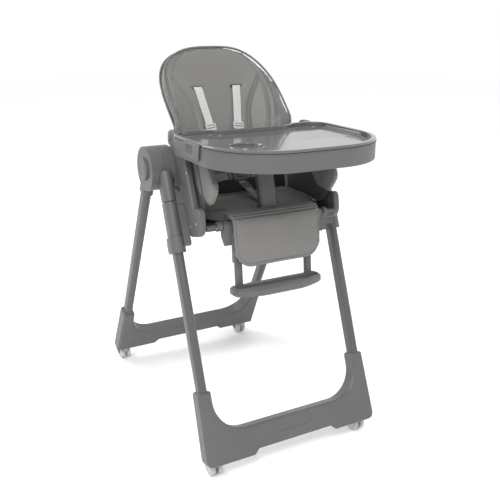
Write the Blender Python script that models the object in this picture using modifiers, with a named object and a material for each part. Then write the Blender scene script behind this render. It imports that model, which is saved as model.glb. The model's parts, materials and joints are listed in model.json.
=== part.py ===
"""Folding baby high chair with sliding seat, reclining back, leg rest and removable tray.

Units are metres, +Z is up and the child faces -Y. The origin is on the floor, under the
middle of the chair. Left and right are the seated child's.
"""

import math

import bmesh
import bpy
from mathutils import Vector

ASSEMBLY = "baby_high_chair"
SIDES = (("left", 1), ("right", -1))
ENDS = (("front", -1), ("rear", 1))

# Clearances
SEAT_GAP = 0.0003        # between pieces that touch or are fixed together
SLIDE_GAP = 0.0006       # between pieces that slide in each other
TURN_GAP = 0.0015        # between pieces that turn past each other

# Rounded corners
ARC_ERROR = 0.00025      # how far a straight facet may lie inside its arc
WIDEST_ARC_STEP = math.radians(30)

# Leg frames: two pairs of flat-oval tubes that cross at the hubs
LEG_X = 0.245
TUBE_WIDTH = 0.024
TUBE_DEPTH = 0.040
TUBE_WALL = 0.0015
TUBE_INSERT = 0.085
FRONT_LEAN = math.radians(21.0)
REAR_LEAN = math.radians(28.0)
FRONT_OFFSET = 0.043
REAR_OFFSET = 0.049
PIVOT = Vector((0.0, -0.023, 0.785))

# Hubs
HUB_RADIUS = 0.060
HUB_INNER_X = 0.216
HUB_OUTER_X = 0.282
ARM_WALL_X = 0.0045
ARM_WALL_Y = 0.005
KNUCKLE_ARM = 0.100
SHELL_ARM = 0.125
PIN_RADIUS = 0.008
PIN_END_X = 0.262
BUTTON_RADIUS = 0.030
BUTTON_DEPTH = 0.0125
BUTTON_TRAVEL = 0.006
BUTTON_PROUD = 0.007

# Bases: a bar between two feet that rise into tube sockets
BASE_TOP = 0.230
BAR_TOP = 0.120
BAR_BOTTOM = 0.066
FOOT_BOTTOM = 0.052
FOOT_INNER_X = 0.132
FOOT_STEP = 0.016
FOOT_FLARE = 0.006
FOOT_CORNER = 0.022
BASE_THICKNESS = 0.047
BASE_WALL = 0.0035
BASE_EDGE = 0.006
SOCKET_WALL = 0.007
SOCKET_SWEEP = 0.085
HOLLOW_X = 0.215
BADGE_LENGTH = 0.120
BADGE_HEIGHT = 0.020
BADGE_SINK = 0.001

# Casters
CASTER_X = 0.234
CASTER_Y = {"front": -0.343, "rear": 0.424}
WHEEL_RADIUS = 0.024
WHEEL_WIDTH = 0.0125
WHEEL_GAP = 0.010
TRAIL = 0.015
STEM_RADIUS = 0.0060
STEM_TOP = 0.080
FORK_PLATE = 0.0030
FORK_RADIUS = 0.015
AXLE_RADIUS = 0.0030
PEDAL_THICKNESS = 0.0030
PEDAL_CHEEK = 0.0020

# Seat carriage, which slides along the front legs
CARRIAGE_TOP = -0.103
CARRIAGE_BOTTOM = -0.238
COLLAR_HEIGHT = 0.043
CARRIAGE_WALL = 0.005
COLLAR_WALL = 0.009

# Seat
SIDE_INNER_X = 0.196
SIDE_OUTER_X = 0.2145
PAN_BOTTOM = 0.644
PAN_FLOOR = 0.006
PAN_WALL = 0.006
PAN_WALL_TOP = 0.722
PAN_FRONT = -0.211
PAN_REAR = 0.058
CUSHION_TOP = 0.690
CUSHION_FRONT = -0.213
CUSHION_REAR = 0.008
CUSHION_NOSE = -0.236
NOSE_HALF_WIDTH = 0.134
NOSE_BOTTOM = 0.673
POST_WIDTH = 0.050
POST_DEPTH = 0.026
POST_FOOT_Y = -0.200
POST_HEAD_Y = -0.152

# Back, measured along its own plane from the shoulder strap slots
BACK_LEAN = math.radians(20.0)
BACK_ORIGIN = Vector((0.0, 0.117, 0.970))
BACK_HALF_WIDTH = 0.183
BACK_HALF_HEIGHT = 0.208
BACK_CENTRE = -0.074
BACK_SHAPE = 3.0
WING_DEPTH = 0.112
WING_TOP = 0.107
WING_LOW = -0.115
PADDING = 0.027
SHELL_THICKNESS = 0.010
RECLINE_DOWN = -0.305
RECLINE_BEHIND = 0.032
AXLE_ROD = 0.006
LUG_X = 0.060
LUG_WIDTH = 0.014
LUG_RADIUS = 0.013
STRAP_X = 0.053
STRAP_WIDTH = 0.024
STRAP_THICKNESS = 0.0030

# Leg rest, hung from a rod under the front of the seat
REST_PIVOT = Vector((0.0, -0.228, 0.660))
REST_TILT = math.radians(5.0)
REST_HALF_WIDTH = 0.134
PAD_TOP = -0.014
PAD_BOTTOM = -0.116
PAD_FRONT_TOP = -0.026
PAD_FRONT_BOTTOM = -0.035
PLATE_FRONT = -0.0130
PLATE_THICKNESS = 0.009
CHEEK_X = 0.146
CHEEK_WIDTH = 0.010
FOOT_TUBE_X = 0.108
FOOT_TUBE_WIDTH = 0.022
FOOT_TUBE_DEPTH = 0.014
HOUSING_WALL = 0.003
HOUSING_TOP = -0.040
FOOT_BAR_DROP = 0.180
FOOT_BAR_THICKNESS = 0.024
FOOT_BAR_HALF = 0.136

# Tray
TRAY_HALF_WIDTH = 0.235
TRAY_FRONT = -0.463
TRAY_REAR = -0.081
TRAY_FRONT_CORNER = 0.175
TRAY_REAR_CORNER = 0.054
TRAY_BELLY = 0.028
TRAY_BELLY_HALF = 0.135
TRAY_BOTTOM = 0.836
TRAY_SPLIT = 0.880
TRAY_WALL = 0.003
LID_RIM = 0.0085
LID_RIM_WIDTH = 0.012
LID_FLOOR = 0.0045
LID_SKIN = 0.003
CUP_RADIUS = 0.040
CUP_DEPTH = 0.0055
CUP_AT = (-0.118, -0.300)
RAIL_BOTTOM = 0.842
RAIL_TOP = 0.858
RAIL_FRONT = -0.330
ARM_TOP = 0.888

TURN_SIDE = (math.radians(90), 0.0, math.radians(90))    # outline in Y and Z, depth along X
TURN_FRONT = (math.radians(90), 0.0, 0.0)                # outline in X and Z, depth along Y
TURN_ACROSS = (0.0, math.radians(90), 0.0)               # turned round the X axis

PLASTIC = ("frame_plastic", (0.185, 0.173, 0.175), 0.45, 0.0)
METAL = ("frame_tube", (0.170, 0.160, 0.162), 0.35, 0.4)
COVER = ("eco_leather", (0.250, 0.247, 0.234), 0.55, 0.0)
WEBBING = ("webbing", (0.300, 0.300, 0.290), 0.85, 0.0)
PALE_WEBBING = ("pale_webbing", (0.740, 0.740, 0.720), 0.85, 0.0)
CASTER = ("caster_plastic", (0.420, 0.420, 0.430), 0.50, 0.0)
GLOSS = ("gloss_plastic", (0.185, 0.175, 0.177), 0.12, 0.0)
STEEL = ("steel", (0.550, 0.550, 0.560), 0.30, 1.0)


# ---------------------------------------------------------------- helpers

def clear_scene():
    """Remove every object of the start-up scene."""
    for obj in list(bpy.data.objects):
        bpy.data.objects.remove(obj, do_unlink=True)


def collection(name):
    """Return the collection with this name, made on first use."""
    found = bpy.data.collections.get(name)
    if found is None:
        found = bpy.data.collections.new(name)
        bpy.context.scene.collection.children.link(found)
    return found


def material(finish):
    """Return the material of a finish: name, colour, roughness and metallic value."""
    name, colour, roughness, metallic = finish
    found = bpy.data.materials.get(name)
    if found is None:
        found = bpy.data.materials.new(name)
        found.use_nodes = True
        shader = found.node_tree.nodes["Principled BSDF"]
        shader.inputs["Base Color"].default_value = (*colour, 1.0)
        shader.inputs["Roughness"].default_value = roughness
        shader.inputs["Metallic"].default_value = metallic
        found.diffuse_color = (*colour, 1.0)
    return found


def axes(name, location, tilt=0.0, parent=None):
    """An empty at a joint or a leaning sub-frame, tilted about X."""
    empty = bpy.data.objects.new(name, None)
    empty.location = location
    empty.rotation_euler = (tilt, 0.0, 0.0)
    empty.parent = parent
    empty.empty_display_size = 0.05
    collection(ASSEMBLY).objects.link(empty)
    return empty


def mesh_object(name, build):
    """A new object whose mesh is filled by build(bm)."""
    bm = bmesh.new()
    build(bm)
    bmesh.ops.recalc_face_normals(bm, faces=bm.faces)
    mesh = bpy.data.meshes.new(name)
    bm.to_mesh(mesh)
    bm.free()
    return bpy.data.objects.new(name, mesh)


def box(name, size):
    """A box of the given size, centred on its origin."""
    def build(bm):
        bmesh.ops.create_cube(bm, size=1.0)
        bmesh.ops.scale(bm, vec=size, verts=bm.verts)
    return mesh_object(name, build)


def cylinder(name, radius, length, segments=32):
    """A cylinder along Z, centred on its origin."""
    def build(bm):
        bmesh.ops.create_cone(bm, cap_ends=True, segments=segments, radius1=radius,
                              radius2=radius, depth=length)
    return mesh_object(name, build)


def fillet(corners):
    """Points of an outline whose corners (x, y, radius) are rounded with arcs."""
    points = []
    count = len(corners)
    for index, (x, y, radius) in enumerate(corners):
        corner = Vector((x, y))
        if radius <= 0.0:
            points.append(corner)
            continue
        before = (Vector(corners[index - 1][:2]) - corner).normalized()
        after = (Vector(corners[(index + 1) % count][:2]) - corner).normalized()
        half = before.angle(after) / 2.0
        centre = corner + (before + after).normalized() * radius / math.sin(half)
        start = corner + before * radius / math.tan(half) - centre
        sweep = math.pi - 2.0 * half
        turn = 1.0 if before.x * after.y - before.y * after.x < 0.0 else -1.0
        arc_step = min(2.0 * math.acos(1.0 - min(ARC_ERROR / radius, 0.5)), WIDEST_ARC_STEP)
        steps = max(2, math.ceil(sweep / arc_step))
        for step in range(steps + 1):
            angle = turn * sweep * step / steps
            spun = Vector((start.x * math.cos(angle) - start.y * math.sin(angle),
                           start.x * math.sin(angle) + start.y * math.cos(angle)))
            points.append(centre + spun)
    return points


def mirrored(half):
    """Corners of a closed outline from its half at +X, which runs end to end."""
    return half + [(-x, y, radius) for x, y, radius in reversed(half)]


def rectangle(left, bottom, right, top, radius=0.0):
    """Corners of a rectangle with equal corner radii."""
    return [(left, bottom, radius), (right, bottom, radius), (right, top, radius),
            (left, top, radius)]


def flat_oval(width, depth):
    """Points of a tube section with half-round ends, wider along Y."""
    return fillet(rectangle(-width / 2, -depth / 2, width / 2, depth / 2, width * 0.4999))


def outline(name, loops, depth, edge=0.0, inset=0.0):
    """A flat outline, extruded to its depth along Z with edges rounded by edge."""
    curve = bpy.data.curves.new(name, 'CURVE')
    curve.dimensions = '2D'
    curve.fill_mode = 'BOTH'
    curve.extrude = depth / 2.0 - edge
    curve.bevel_depth = edge
    curve.bevel_resolution = 0
    curve.offset = -edge - inset
    for loop in loops:
        spline = curve.splines.new('POLY')
        spline.points.add(len(loop) - 1)
        for point, place in zip(spline.points, loop):
            point.co = (place.x, place.y, 0.0, 1.0)
        spline.use_cyclic_u = True
    return as_mesh(bpy.data.objects.new(name, curve))


def as_mesh(curve_object):
    """Turn a curve object into a mesh object with its caps welded on."""
    collection(ASSEMBLY).objects.link(curve_object)
    depsgraph = bpy.context.evaluated_depsgraph_get()
    mesh = bpy.data.meshes.new_from_object(curve_object.evaluated_get(depsgraph))
    bm = bmesh.new()
    bm.from_mesh(mesh)
    bmesh.ops.remove_doubles(bm, verts=bm.verts, dist=0.00002)
    bmesh.ops.dissolve_degenerate(bm, edges=bm.edges, dist=0.00001)
    bmesh.ops.recalc_face_normals(bm, faces=bm.faces)
    bm.to_mesh(mesh)
    bm.free()
    solid = bpy.data.objects.new(curve_object.name, mesh)
    solid.matrix_world = curve_object.matrix_world
    bpy.data.objects.remove(curve_object, do_unlink=True)
    return solid


def put(obj, name, finish, parent=None, at=(0.0, 0.0, 0.0), turn=(0.0, 0.0, 0.0)):
    """Name a solid, give it its material and place it in the assembly."""
    obj.name = name
    obj.data.name = name
    obj.data.materials.clear()
    obj.data.materials.append(material(finish))
    obj.data.shade_smooth()
    obj.data.set_sharp_from_angle(angle=math.radians(35))
    obj.parent = parent
    obj.location = at
    obj.rotation_euler = turn
    collection(ASSEMBLY).objects.link(obj)
    return obj


def boolean(target, tool, operation, at=(0.0, 0.0, 0.0), turn=(0.0, 0.0, 0.0), parent=None):
    """Add a boolean with a hidden tool, placed under the target's parent by default."""
    tool.parent = target.parent if parent is None else parent
    tool.location = at
    tool.rotation_euler = turn
    tool.hide_render = True
    tool.display_type = 'WIRE'
    collection("cutters").objects.link(tool)
    modifier = target.modifiers.new(operation.title(), 'BOOLEAN')
    modifier.operation = operation
    modifier.solver = 'EXACT'
    modifier.object = tool
    return target


def cut(target, tool, **place):
    """Take a tool's volume out of a target."""
    return boolean(target, tool, 'DIFFERENCE', **place)


def join(target, tool, **place):
    """Make a tool's volume part of a target."""
    return boolean(target, tool, 'UNION', **place)


def side_plate(name, corners, depth, edge=0.0):
    """An outline seen from the side, in Y and Z."""
    return outline(name, [fillet(corners)], depth, edge)


# ---------------------------------------------------------------- leg frames

def along(height, lean, offset):
    """Distance along a leg's axis, from level with the pivot, of a world height."""
    return (height - PIVOT.z - offset * math.sin(lean)) / math.cos(lean)


def base(name, rig, lean, offset, forward):
    """A hollow moulded base with two tube sockets; its feet are cut level."""
    outer = LEG_X + TUBE_WIDTH / 2 + SOCKET_WALL
    inner = LEG_X - TUBE_WIDTH / 2 - SOCKET_WALL
    top = along(BASE_TOP, lean, offset)
    low = along(FOOT_BOTTOM - BASE_THICKNESS / 4, lean, offset)
    bar = along(BAR_TOP, lean, offset)
    half = [(outer + FOOT_FLARE, low, FOOT_CORNER), (outer, top, BASE_EDGE * 1.2),
            (inner, top, BASE_EDGE * 1.2), (inner, bar, SOCKET_SWEEP)]
    plane_y = forward * offset
    solid = outline(name, [fillet(mirrored(half))], BASE_THICKNESS, BASE_EDGE)
    put(solid, name, PLASTIC, rig, (0.0, plane_y, 0.0), TURN_FRONT)

    reach = outer + FOOT_FLARE + 0.05
    step = [(reach, -0.2, 0.0), (reach, FOOT_BOTTOM, 0.0), (FOOT_INNER_X, FOOT_BOTTOM, 0.004),
            (FOOT_INNER_X - FOOT_STEP, BAR_BOTTOM, 0.004)]
    ground_y = (rig.matrix_world @ Vector((0.0, plane_y, bar))).y
    level = outline(name + "_level_cut", [fillet(mirrored(step))], 0.32)
    cut(solid, level, at=(0.0, ground_y, 0.0), turn=TURN_FRONT, parent=LEVEL)

    room = rectangle(-HOLLOW_X, low - 0.1, HOLLOW_X, bar - BASE_WALL, 0.004)
    hollow = outline(name + "_hollow", [fillet(room)], BASE_THICKNESS - 2 * BASE_WALL)
    cut(solid, hollow, at=(0.0, plane_y, 0.0), turn=TURN_FRONT)
    for _, side in SIDES:
        bore = outline(name + "_bore", [flat_oval(TUBE_WIDTH + 2 * SEAT_GAP,
                                                  TUBE_DEPTH + 2 * SEAT_GAP)], TUBE_INSERT * 2)
        cut(solid, bore, at=(side * LEG_X, plane_y, top + SEAT_GAP * -1))
    return solid


def badge_recess(solid, lean, offset):
    """A blank shallow oval in the middle of the front bar."""
    centre = along((BAR_TOP + BAR_BOTTOM) / 2, lean, offset)
    half_length = BADGE_LENGTH / 2
    half_height = BADGE_HEIGHT / 2
    oval = rectangle(-half_length, -half_height, half_length, half_height, half_height * 0.999)
    plate = outline("badge_cut", [fillet(oval)], 2 * BADGE_SINK)
    cut(solid, plate, at=(0.0, -offset - BASE_THICKNESS / 2, centre), turn=TURN_FRONT)


def caster_bores(solid, end):
    """Upright holes in the feet for the caster stems."""
    for _, side in SIDES:
        depth = 2 * (STEM_TOP - FOOT_BOTTOM + SEAT_GAP)
        bore = cylinder("stem_bore", STEM_RADIUS * 1.08, depth, 16)
        cut(solid, bore, at=(side * CASTER_X, CASTER_Y[end], FOOT_BOTTOM), parent=LEVEL)


def tube_top(offset):
    """Where a leg tube ends, so that it stays clear of the other hub half."""
    near = offset - TUBE_DEPTH / 2
    reach = HUB_RADIUS + 2 * TURN_GAP
    return -math.sqrt(reach ** 2 - near ** 2)


def leg_tube(name, rig, side, lean, offset, forward):
    """A flat-oval tube from its base socket up into its hub arm."""
    bottom = along(BASE_TOP, lean, offset) - TUBE_INSERT + SEAT_GAP
    top = tube_top(offset)
    wall = 2 * TUBE_WALL
    section = [flat_oval(TUBE_WIDTH, TUBE_DEPTH), flat_oval(TUBE_WIDTH - wall, TUBE_DEPTH - wall)]
    tube = outline(name, section, top - bottom)
    put(tube, name, METAL, rig, (side * LEG_X, forward * offset, (top + bottom) / 2))


def hub_half(name, rig, side, offset, forward, arm_length, drum_x, far_x):
    """One half of a hub: a drum on the pivot and an arm that holds its leg tube.

    drum_x is the drum's inner and outer X, far_x the X beyond which the other drum lies.
    """
    section = flat_oval(TUBE_WIDTH + 2 * ARM_WALL_X, TUBE_DEPTH + 2 * ARM_WALL_Y)
    arm_top = -HUB_RADIUS / 3
    arm = outline(name, [section], arm_length + arm_top)
    put(arm, name, PLASTIC, rig, (side * LEG_X, forward * offset, (arm_top - arm_length) / 2))
    swing = cylinder(name + "_swing", HUB_RADIUS + TURN_GAP, abs(far_x - LEG_X) + 0.001, 40)
    cut(arm, swing, at=(side * (far_x + LEG_X) / 2, 0.0, 0.0), turn=TURN_ACROSS)
    near, far = drum_x
    drum = cylinder(name + "_drum", HUB_RADIUS, far - near, 40)
    join(arm, drum, at=(side * (near + far) / 2, 0.0, 0.0), turn=TURN_ACROSS)
    bore_top = tube_top(offset) + SEAT_GAP
    bore = outline(name + "_bore", [flat_oval(TUBE_WIDTH + 2 * SEAT_GAP,
                                              TUBE_DEPTH + 2 * SEAT_GAP)], 0.2)
    cut(arm, bore, at=(side * LEG_X, forward * offset, bore_top - 0.1))
    pin = cylinder(name + "_pin_bore", PIN_RADIUS * 1.08, 0.2, 24)
    cut(arm, pin, at=(side * LEG_X, 0.0, 0.0), turn=TURN_ACROSS)
    return arm


def hubs(front_rig, rear_rig):
    """Knuckles on the front legs, shells on the rear legs, their pins and fold buttons."""
    split = LEG_X
    gap = SEAT_GAP
    for word, side in SIDES:
        hub_half(f"hub_knuckle_{word}", front_rig, side, FRONT_OFFSET, -1, KNUCKLE_ARM,
                 (HUB_INNER_X, split - gap), HUB_OUTER_X)
        shell = hub_half(f"hub_shell_{word}", rear_rig, side, REAR_OFFSET, 1, SHELL_ARM,
                         (split + gap, HUB_OUTER_X), HUB_INNER_X)
        inner = HUB_OUTER_X + BUTTON_PROUD - BUTTON_DEPTH
        floor = inner - BUTTON_TRAVEL - SEAT_GAP
        recess = cylinder("button_recess", BUTTON_RADIUS * 1.02, 2 * (HUB_OUTER_X - floor), 32)
        cut(shell, recess, at=(side * HUB_OUTER_X, 0.0, 0.0), turn=TURN_ACROSS)
        pin = cylinder("pin", PIN_RADIUS, PIN_END_X - HUB_INNER_X, 24)
        put(pin, f"hub_pin_{word}", STEEL, front_rig,
            (side * (PIN_END_X + HUB_INNER_X) / 2, 0.0, 0.0), TURN_ACROSS)
        button = cylinder("button", BUTTON_RADIUS, BUTTON_DEPTH, 32)
        put(button, f"fold_button_{word}", PLASTIC, rear_rig,
            (side * (inner + BUTTON_DEPTH / 2), 0.0, 0.0), TURN_ACROSS)


def leg_frames():
    """Both leg pairs with their bases, casters apart."""
    front_rig = axes("front_frame_axes", PIVOT, -FRONT_LEAN)
    rear_rig = axes("rear_frame_axes", PIVOT, REAR_LEAN)
    bpy.context.view_layer.update()
    front = base("front_base", front_rig, FRONT_LEAN, FRONT_OFFSET, -1)
    badge_recess(front, FRONT_LEAN, FRONT_OFFSET)
    rear = base("rear_base", rear_rig, REAR_LEAN, REAR_OFFSET, 1)
    caster_bores(front, "front")
    caster_bores(rear, "rear")
    for word, side in SIDES:
        leg_tube(f"front_leg_{word}", front_rig, side, FRONT_LEAN, FRONT_OFFSET, -1)
        leg_tube(f"rear_leg_{word}", rear_rig, side, REAR_LEAN, REAR_OFFSET, 1)
    hubs(front_rig, rear_rig)
    return front_rig


# ---------------------------------------------------------------- casters

def caster(end, word, side):
    """A swivel fork on the foot's stem axis and a twin wheel that trails behind it."""
    swivel = axes(f"caster_{end}_{word}_axes", (side * CASTER_X, CASTER_Y[end], 0.0))
    plate_top = FOOT_BOTTOM - 2 * SEAT_GAP
    plate_low = plate_top - FORK_PLATE
    web = [(-0.011, plate_low - 0.001, 0.003), (-0.008, 0.034, 0.01), (TRAIL - 0.007, 0.017, 0.006),
           (TRAIL + 0.007, 0.017, 0.006), (TRAIL + 0.008, plate_top - 0.010, 0.006),
           (0.011, plate_top - 0.0015, 0.003), (-0.011, plate_top - 0.0015, 0.0)]
    fork = side_plate("fork", web, WHEEL_GAP - 2 * SLIDE_GAP)
    put(fork, f"caster_fork_{end}_{word}", CASTER, swivel, turn=TURN_SIDE)
    join(fork, cylinder("fork_plate", FORK_RADIUS, FORK_PLATE, 24),
         at=(0.0, 0.0, (plate_top + plate_low) / 2))
    stem_low = plate_low + 0.001
    join(fork, cylinder("stem", STEM_RADIUS, STEM_TOP - stem_low, 16),
         at=(0.0, 0.0, (STEM_TOP + stem_low) / 2))
    cut(fork, cylinder("axle_bore", AXLE_RADIUS * 1.15, 0.05, 16),
        at=(0.0, TRAIL, WHEEL_RADIUS), turn=TURN_ACROSS)

    tyre = 0.003
    half = WHEEL_GAP / 2 + WHEEL_WIDTH
    rim = [(0.0, half), (WHEEL_RADIUS * 0.72, half), (WHEEL_RADIUS - tyre, half - 0.0005),
           (WHEEL_RADIUS, half - tyre), (WHEEL_RADIUS, WHEEL_GAP / 2), (AXLE_RADIUS, WHEEL_GAP / 2)]
    profile = rim + [(radius, -place) for radius, place in reversed(rim)]
    put(turned("wheel", profile, 20), f"caster_wheel_{end}_{word}", CASTER, swivel,
        (0.0, TRAIL, WHEEL_RADIUS), TURN_ACROSS)
    if end == "rear":
        brake_pedal(word, swivel)


def turned(name, profile, steps):
    """A solid of revolution about Z from a profile of (radius, height), top to bottom."""
    def build(bm):
        verts = [bm.verts.new((radius, 0.0, height)) for radius, height in profile]
        for first, second in zip(verts, verts[1:]):
            bm.edges.new((first, second))
    solid = mesh_object(name, build)
    screw = solid.modifiers.new("Screw", 'SCREW')
    screw.steps = steps
    screw.render_steps = steps
    screw.use_merge_vertices = True
    screw.merge_threshold = 0.00001
    return solid


def brake_pedal(word, swivel):
    """A stirrup round the rear wheel's axle line whose tread rubs the wheels."""
    tread = WHEEL_RADIUS + TURN_GAP
    rim = tread + PEDAL_THICKNESS
    cheek = WHEEL_GAP / 2 + WHEEL_WIDTH + TURN_GAP / 2
    shape = [(-0.006, -0.004, 0.005), (0.004, -0.008, 0.005), (rim, 0.000, 0.003),
             (rim * 0.985, rim * 0.20, 0.004), (rim * 0.80, rim * 0.62, 0.003),
             (0.000, 0.008, 0.005)]
    pedal = side_plate("pedal", shape, 2 * (cheek + PEDAL_CHEEK))
    put(pedal, f"brake_pedal_{word}", PLASTIC, swivel, (0.0, TRAIL, WHEEL_RADIUS), TURN_SIDE)
    cut(pedal, cylinder("wheel_room", tread, 2 * cheek, 40),
        at=(0.0, TRAIL, WHEEL_RADIUS), turn=TURN_ACROSS)


# ---------------------------------------------------------------- seat

def carriage(word, side, rig):
    """A sleeve on the front leg with a collar and a block that carries the seat side."""
    def sleeve_section(wall):
        return flat_oval(TUBE_WIDTH + 2 * wall, TUBE_DEPTH + 2 * wall)

    centre = (CARRIAGE_TOP + CARRIAGE_BOTTOM) / 2
    sleeve = outline("sleeve", [sleeve_section(CARRIAGE_WALL)], CARRIAGE_TOP - CARRIAGE_BOTTOM)
    put(sleeve, f"carriage_{word}", PLASTIC, rig, (side * LEG_X, -FRONT_OFFSET, centre))
    collar = outline("collar", [sleeve_section(COLLAR_WALL)], COLLAR_HEIGHT)
    join(sleeve, collar, at=(side * LEG_X, -FRONT_OFFSET,
                             CARRIAGE_BOTTOM + COLLAR_HEIGHT / 2 - 0.0008))
    inner = SIDE_OUTER_X + SEAT_GAP
    outer = LEG_X - TUBE_WIDTH / 2 + 0.001
    bridge = [(-0.080, CARRIAGE_BOTTOM + 0.012, 0.010), (0.004, CARRIAGE_BOTTOM + 0.022, 0.012),
              (-0.008, CARRIAGE_TOP - 0.010, 0.010), (-0.070, CARRIAGE_TOP - 0.006, 0.010)]
    join(sleeve, side_plate("bridge", bridge, outer - inner),
         at=(side * (inner + outer) / 2, 0.0, 0.0), turn=TURN_SIDE)
    bore = outline("sleeve_bore", [sleeve_section(SLIDE_GAP)], 0.4)
    cut(sleeve, bore, at=(side * LEG_X, -FRONT_OFFSET, centre))

    rear_face = -FRONT_OFFSET + TUBE_DEPTH / 2 + COLLAR_WALL
    latch_depth = 0.018
    low = CARRIAGE_BOTTOM + 0.004
    high = CARRIAGE_BOTTOM + COLLAR_HEIGHT - 0.012
    shape = rectangle(-latch_depth / 2, low, latch_depth / 2, high, 0.004)
    put(side_plate("latch", shape, 0.018), f"height_latch_{word}", PLASTIC, rig,
        (side * LEG_X, rear_face + TURN_GAP + latch_depth / 2, 0.0), TURN_SIDE)


def seat_side(word, side):
    """A side post with a boss at its foot, an armrest and the rail under the tray."""
    arm_front = TRAY_REAR + 2 * TURN_GAP
    shape = [(-0.150, 0.618, 0.028), (-0.236, 0.640, 0.034), (-0.224, 0.712, 0.014),
             (-0.186, 0.704, 0.012), (-0.130, RAIL_BOTTOM, 0.020), (RAIL_FRONT, RAIL_BOTTOM, 0.006),
             (RAIL_FRONT, RAIL_TOP, 0.006), (arm_front, RAIL_TOP, 0.0), (arm_front, ARM_TOP, 0.012),
             (-0.028, ARM_TOP, 0.018), (-0.022, 0.848, 0.012), (-0.062, 0.838, 0.020)]
    centre = side * (SIDE_INNER_X + SIDE_OUTER_X) / 2
    put(side_plate("seat_side", shape, SIDE_OUTER_X - SIDE_INNER_X, 0.003),
        f"seat_side_{word}", PLASTIC, at=(centre, 0.0, 0.0), turn=TURN_SIDE)


def seat_pan():
    """A channel under the cushion, between the seat sides, with arched side windows."""
    outer = SIDE_INNER_X - SEAT_GAP
    inner = outer - PAN_WALL
    floor = PAN_BOTTOM + PAN_FLOOR
    half = [(outer, PAN_BOTTOM, 0.012), (outer, PAN_WALL_TOP, 0.003), (inner, PAN_WALL_TOP, 0.003),
            (inner, floor, 0.008)]
    length = PAN_REAR - PAN_FRONT
    pan = outline("seat_pan", [fillet(mirrored(half))], length)
    put(pan, "seat_pan", PLASTIC, at=(0.0, (PAN_REAR + PAN_FRONT) / 2, 0.0), turn=TURN_FRONT)
    window = [(-0.170, 0.664, 0.006), (-0.070, 0.664, 0.006), (-0.070, 0.700, 0.016),
              (-0.170, 0.700, 0.016)]
    cut(pan, side_plate("window", window, 1.0), turn=TURN_SIDE)
    slope = [(PAN_FRONT - 0.05, 0.690, 0.0), (-0.175, 0.700, 0.03), (-0.120, 0.80, 0.0),
             (PAN_FRONT - 0.05, 0.80, 0.0)]
    cut(pan, side_plate("front_slope", slope, 1.0), turn=TURN_SIDE)
    axle_y, axle_z = recline_axis()
    cut(pan, cylinder("axle_bore", AXLE_ROD * 1.08, 1.0, 24), at=(0.0, axle_y, axle_z),
        turn=TURN_ACROSS)
    rod_length = 2 * (outer - SEAT_GAP)
    put(cylinder("rod", AXLE_ROD, rod_length, 24), "recline_axle", STEEL,
        at=(0.0, axle_y, axle_z), turn=TURN_ACROSS)


def post_line(height):
    """Y of the crotch post's centre line at a height."""
    span = RAIL_TOP - CUSHION_TOP
    return POST_FOOT_Y + (POST_HEAD_Y - POST_FOOT_Y) * (height - CUSHION_TOP) / span


def crotch_post():
    """A leaning post from the seat pan to just under the tray, notched for the leg rest's rod."""
    low = PAN_BOTTOM + PAN_FLOOR + SEAT_GAP
    high = TRAY_BOTTOM - TURN_GAP
    half = POST_DEPTH / 2
    shape = [(post_line(low) - half, low, 0.002), (post_line(low) + half, low, 0.002),
             (post_line(high) + half * 0.8, high, 0.005), (post_line(high) - half * 0.8, high, 0.005)]
    post = side_plate("crotch_post", shape, POST_WIDTH, 0.004)
    put(post, "crotch_post", PLASTIC, turn=TURN_SIDE)
    cut(post, cylinder("axle_notch", AXLE_ROD + TURN_GAP, 1.0, 24), at=REST_PIVOT,
        turn=TURN_ACROSS)


def seat_cushion():
    """A padded block, narrower at its front and with a nose, slotted for the crotch post."""
    half_width = SIDE_INNER_X - PAN_WALL - 4 * TURN_GAP
    low = PAN_BOTTOM + PAN_FLOOR + SEAT_GAP
    shape = [(CUSHION_FRONT, low + 0.006, 0.012), (CUSHION_REAR, low, 0.006),
             (CUSHION_REAR, CUSHION_TOP - 0.004, 0.014), (CUSHION_FRONT, CUSHION_TOP, 0.014)]
    cushion = side_plate("cushion", shape, 2 * half_width, 0.006)
    put(cushion, "seat_cushion", COVER, turn=TURN_SIDE)
    for _, side in SIDES:
        corner = [(0.25 * side, -0.30, 0.0), (0.25 * side, -0.145, 0.0),
                  (half_width * side, -0.145, 0.02), (NOSE_HALF_WIDTH * side, -0.195, 0.02),
                  (NOSE_HALF_WIDTH * side, -0.30, 0.0)]
        cut(cushion, outline("corner_cut", [fillet(corner)], 0.2),
            at=(0.0, 0.0, CUSHION_TOP))
    nose = rectangle(CUSHION_NOSE, NOSE_BOTTOM, CUSHION_FRONT + 0.02, CUSHION_TOP - 0.0002, 0.009)
    join(cushion, side_plate("nose", nose, 2 * NOSE_HALF_WIDTH - 0.001), turn=TURN_SIDE)
    margin = TURN_GAP
    half = POST_DEPTH / 2 + margin
    bottom = low - 0.02
    top = CUSHION_TOP + 0.02
    slot = [(post_line(bottom) - half, bottom, 0.0), (post_line(bottom) + half, bottom, 0.0),
            (post_line(top) + half, top, 0.0), (post_line(top) - half, top, 0.0)]
    cut(cushion, side_plate("post_slot", slot, POST_WIDTH + 2 * margin), turn=TURN_SIDE)


def side_flap(word, side):
    """The padded flap of the seat cover that hangs inside each seat side."""
    high = TRAY_BOTTOM - TURN_GAP
    shape = [(-0.085, high, 0.010), (-0.215, high, 0.010), (-0.272, 0.765, 0.030),
             (-0.232, 0.712, 0.030), (-0.165, 0.716, 0.040)]
    thickness = 0.016
    outer = SIDE_INNER_X - PAN_WALL - 2 * TURN_GAP
    put(side_plate("flap", shape, thickness, 0.005), f"side_flap_{word}", COVER,
        at=(side * (outer - thickness / 2), 0.0, 0.0), turn=TURN_SIDE)


# ---------------------------------------------------------------- back

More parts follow.
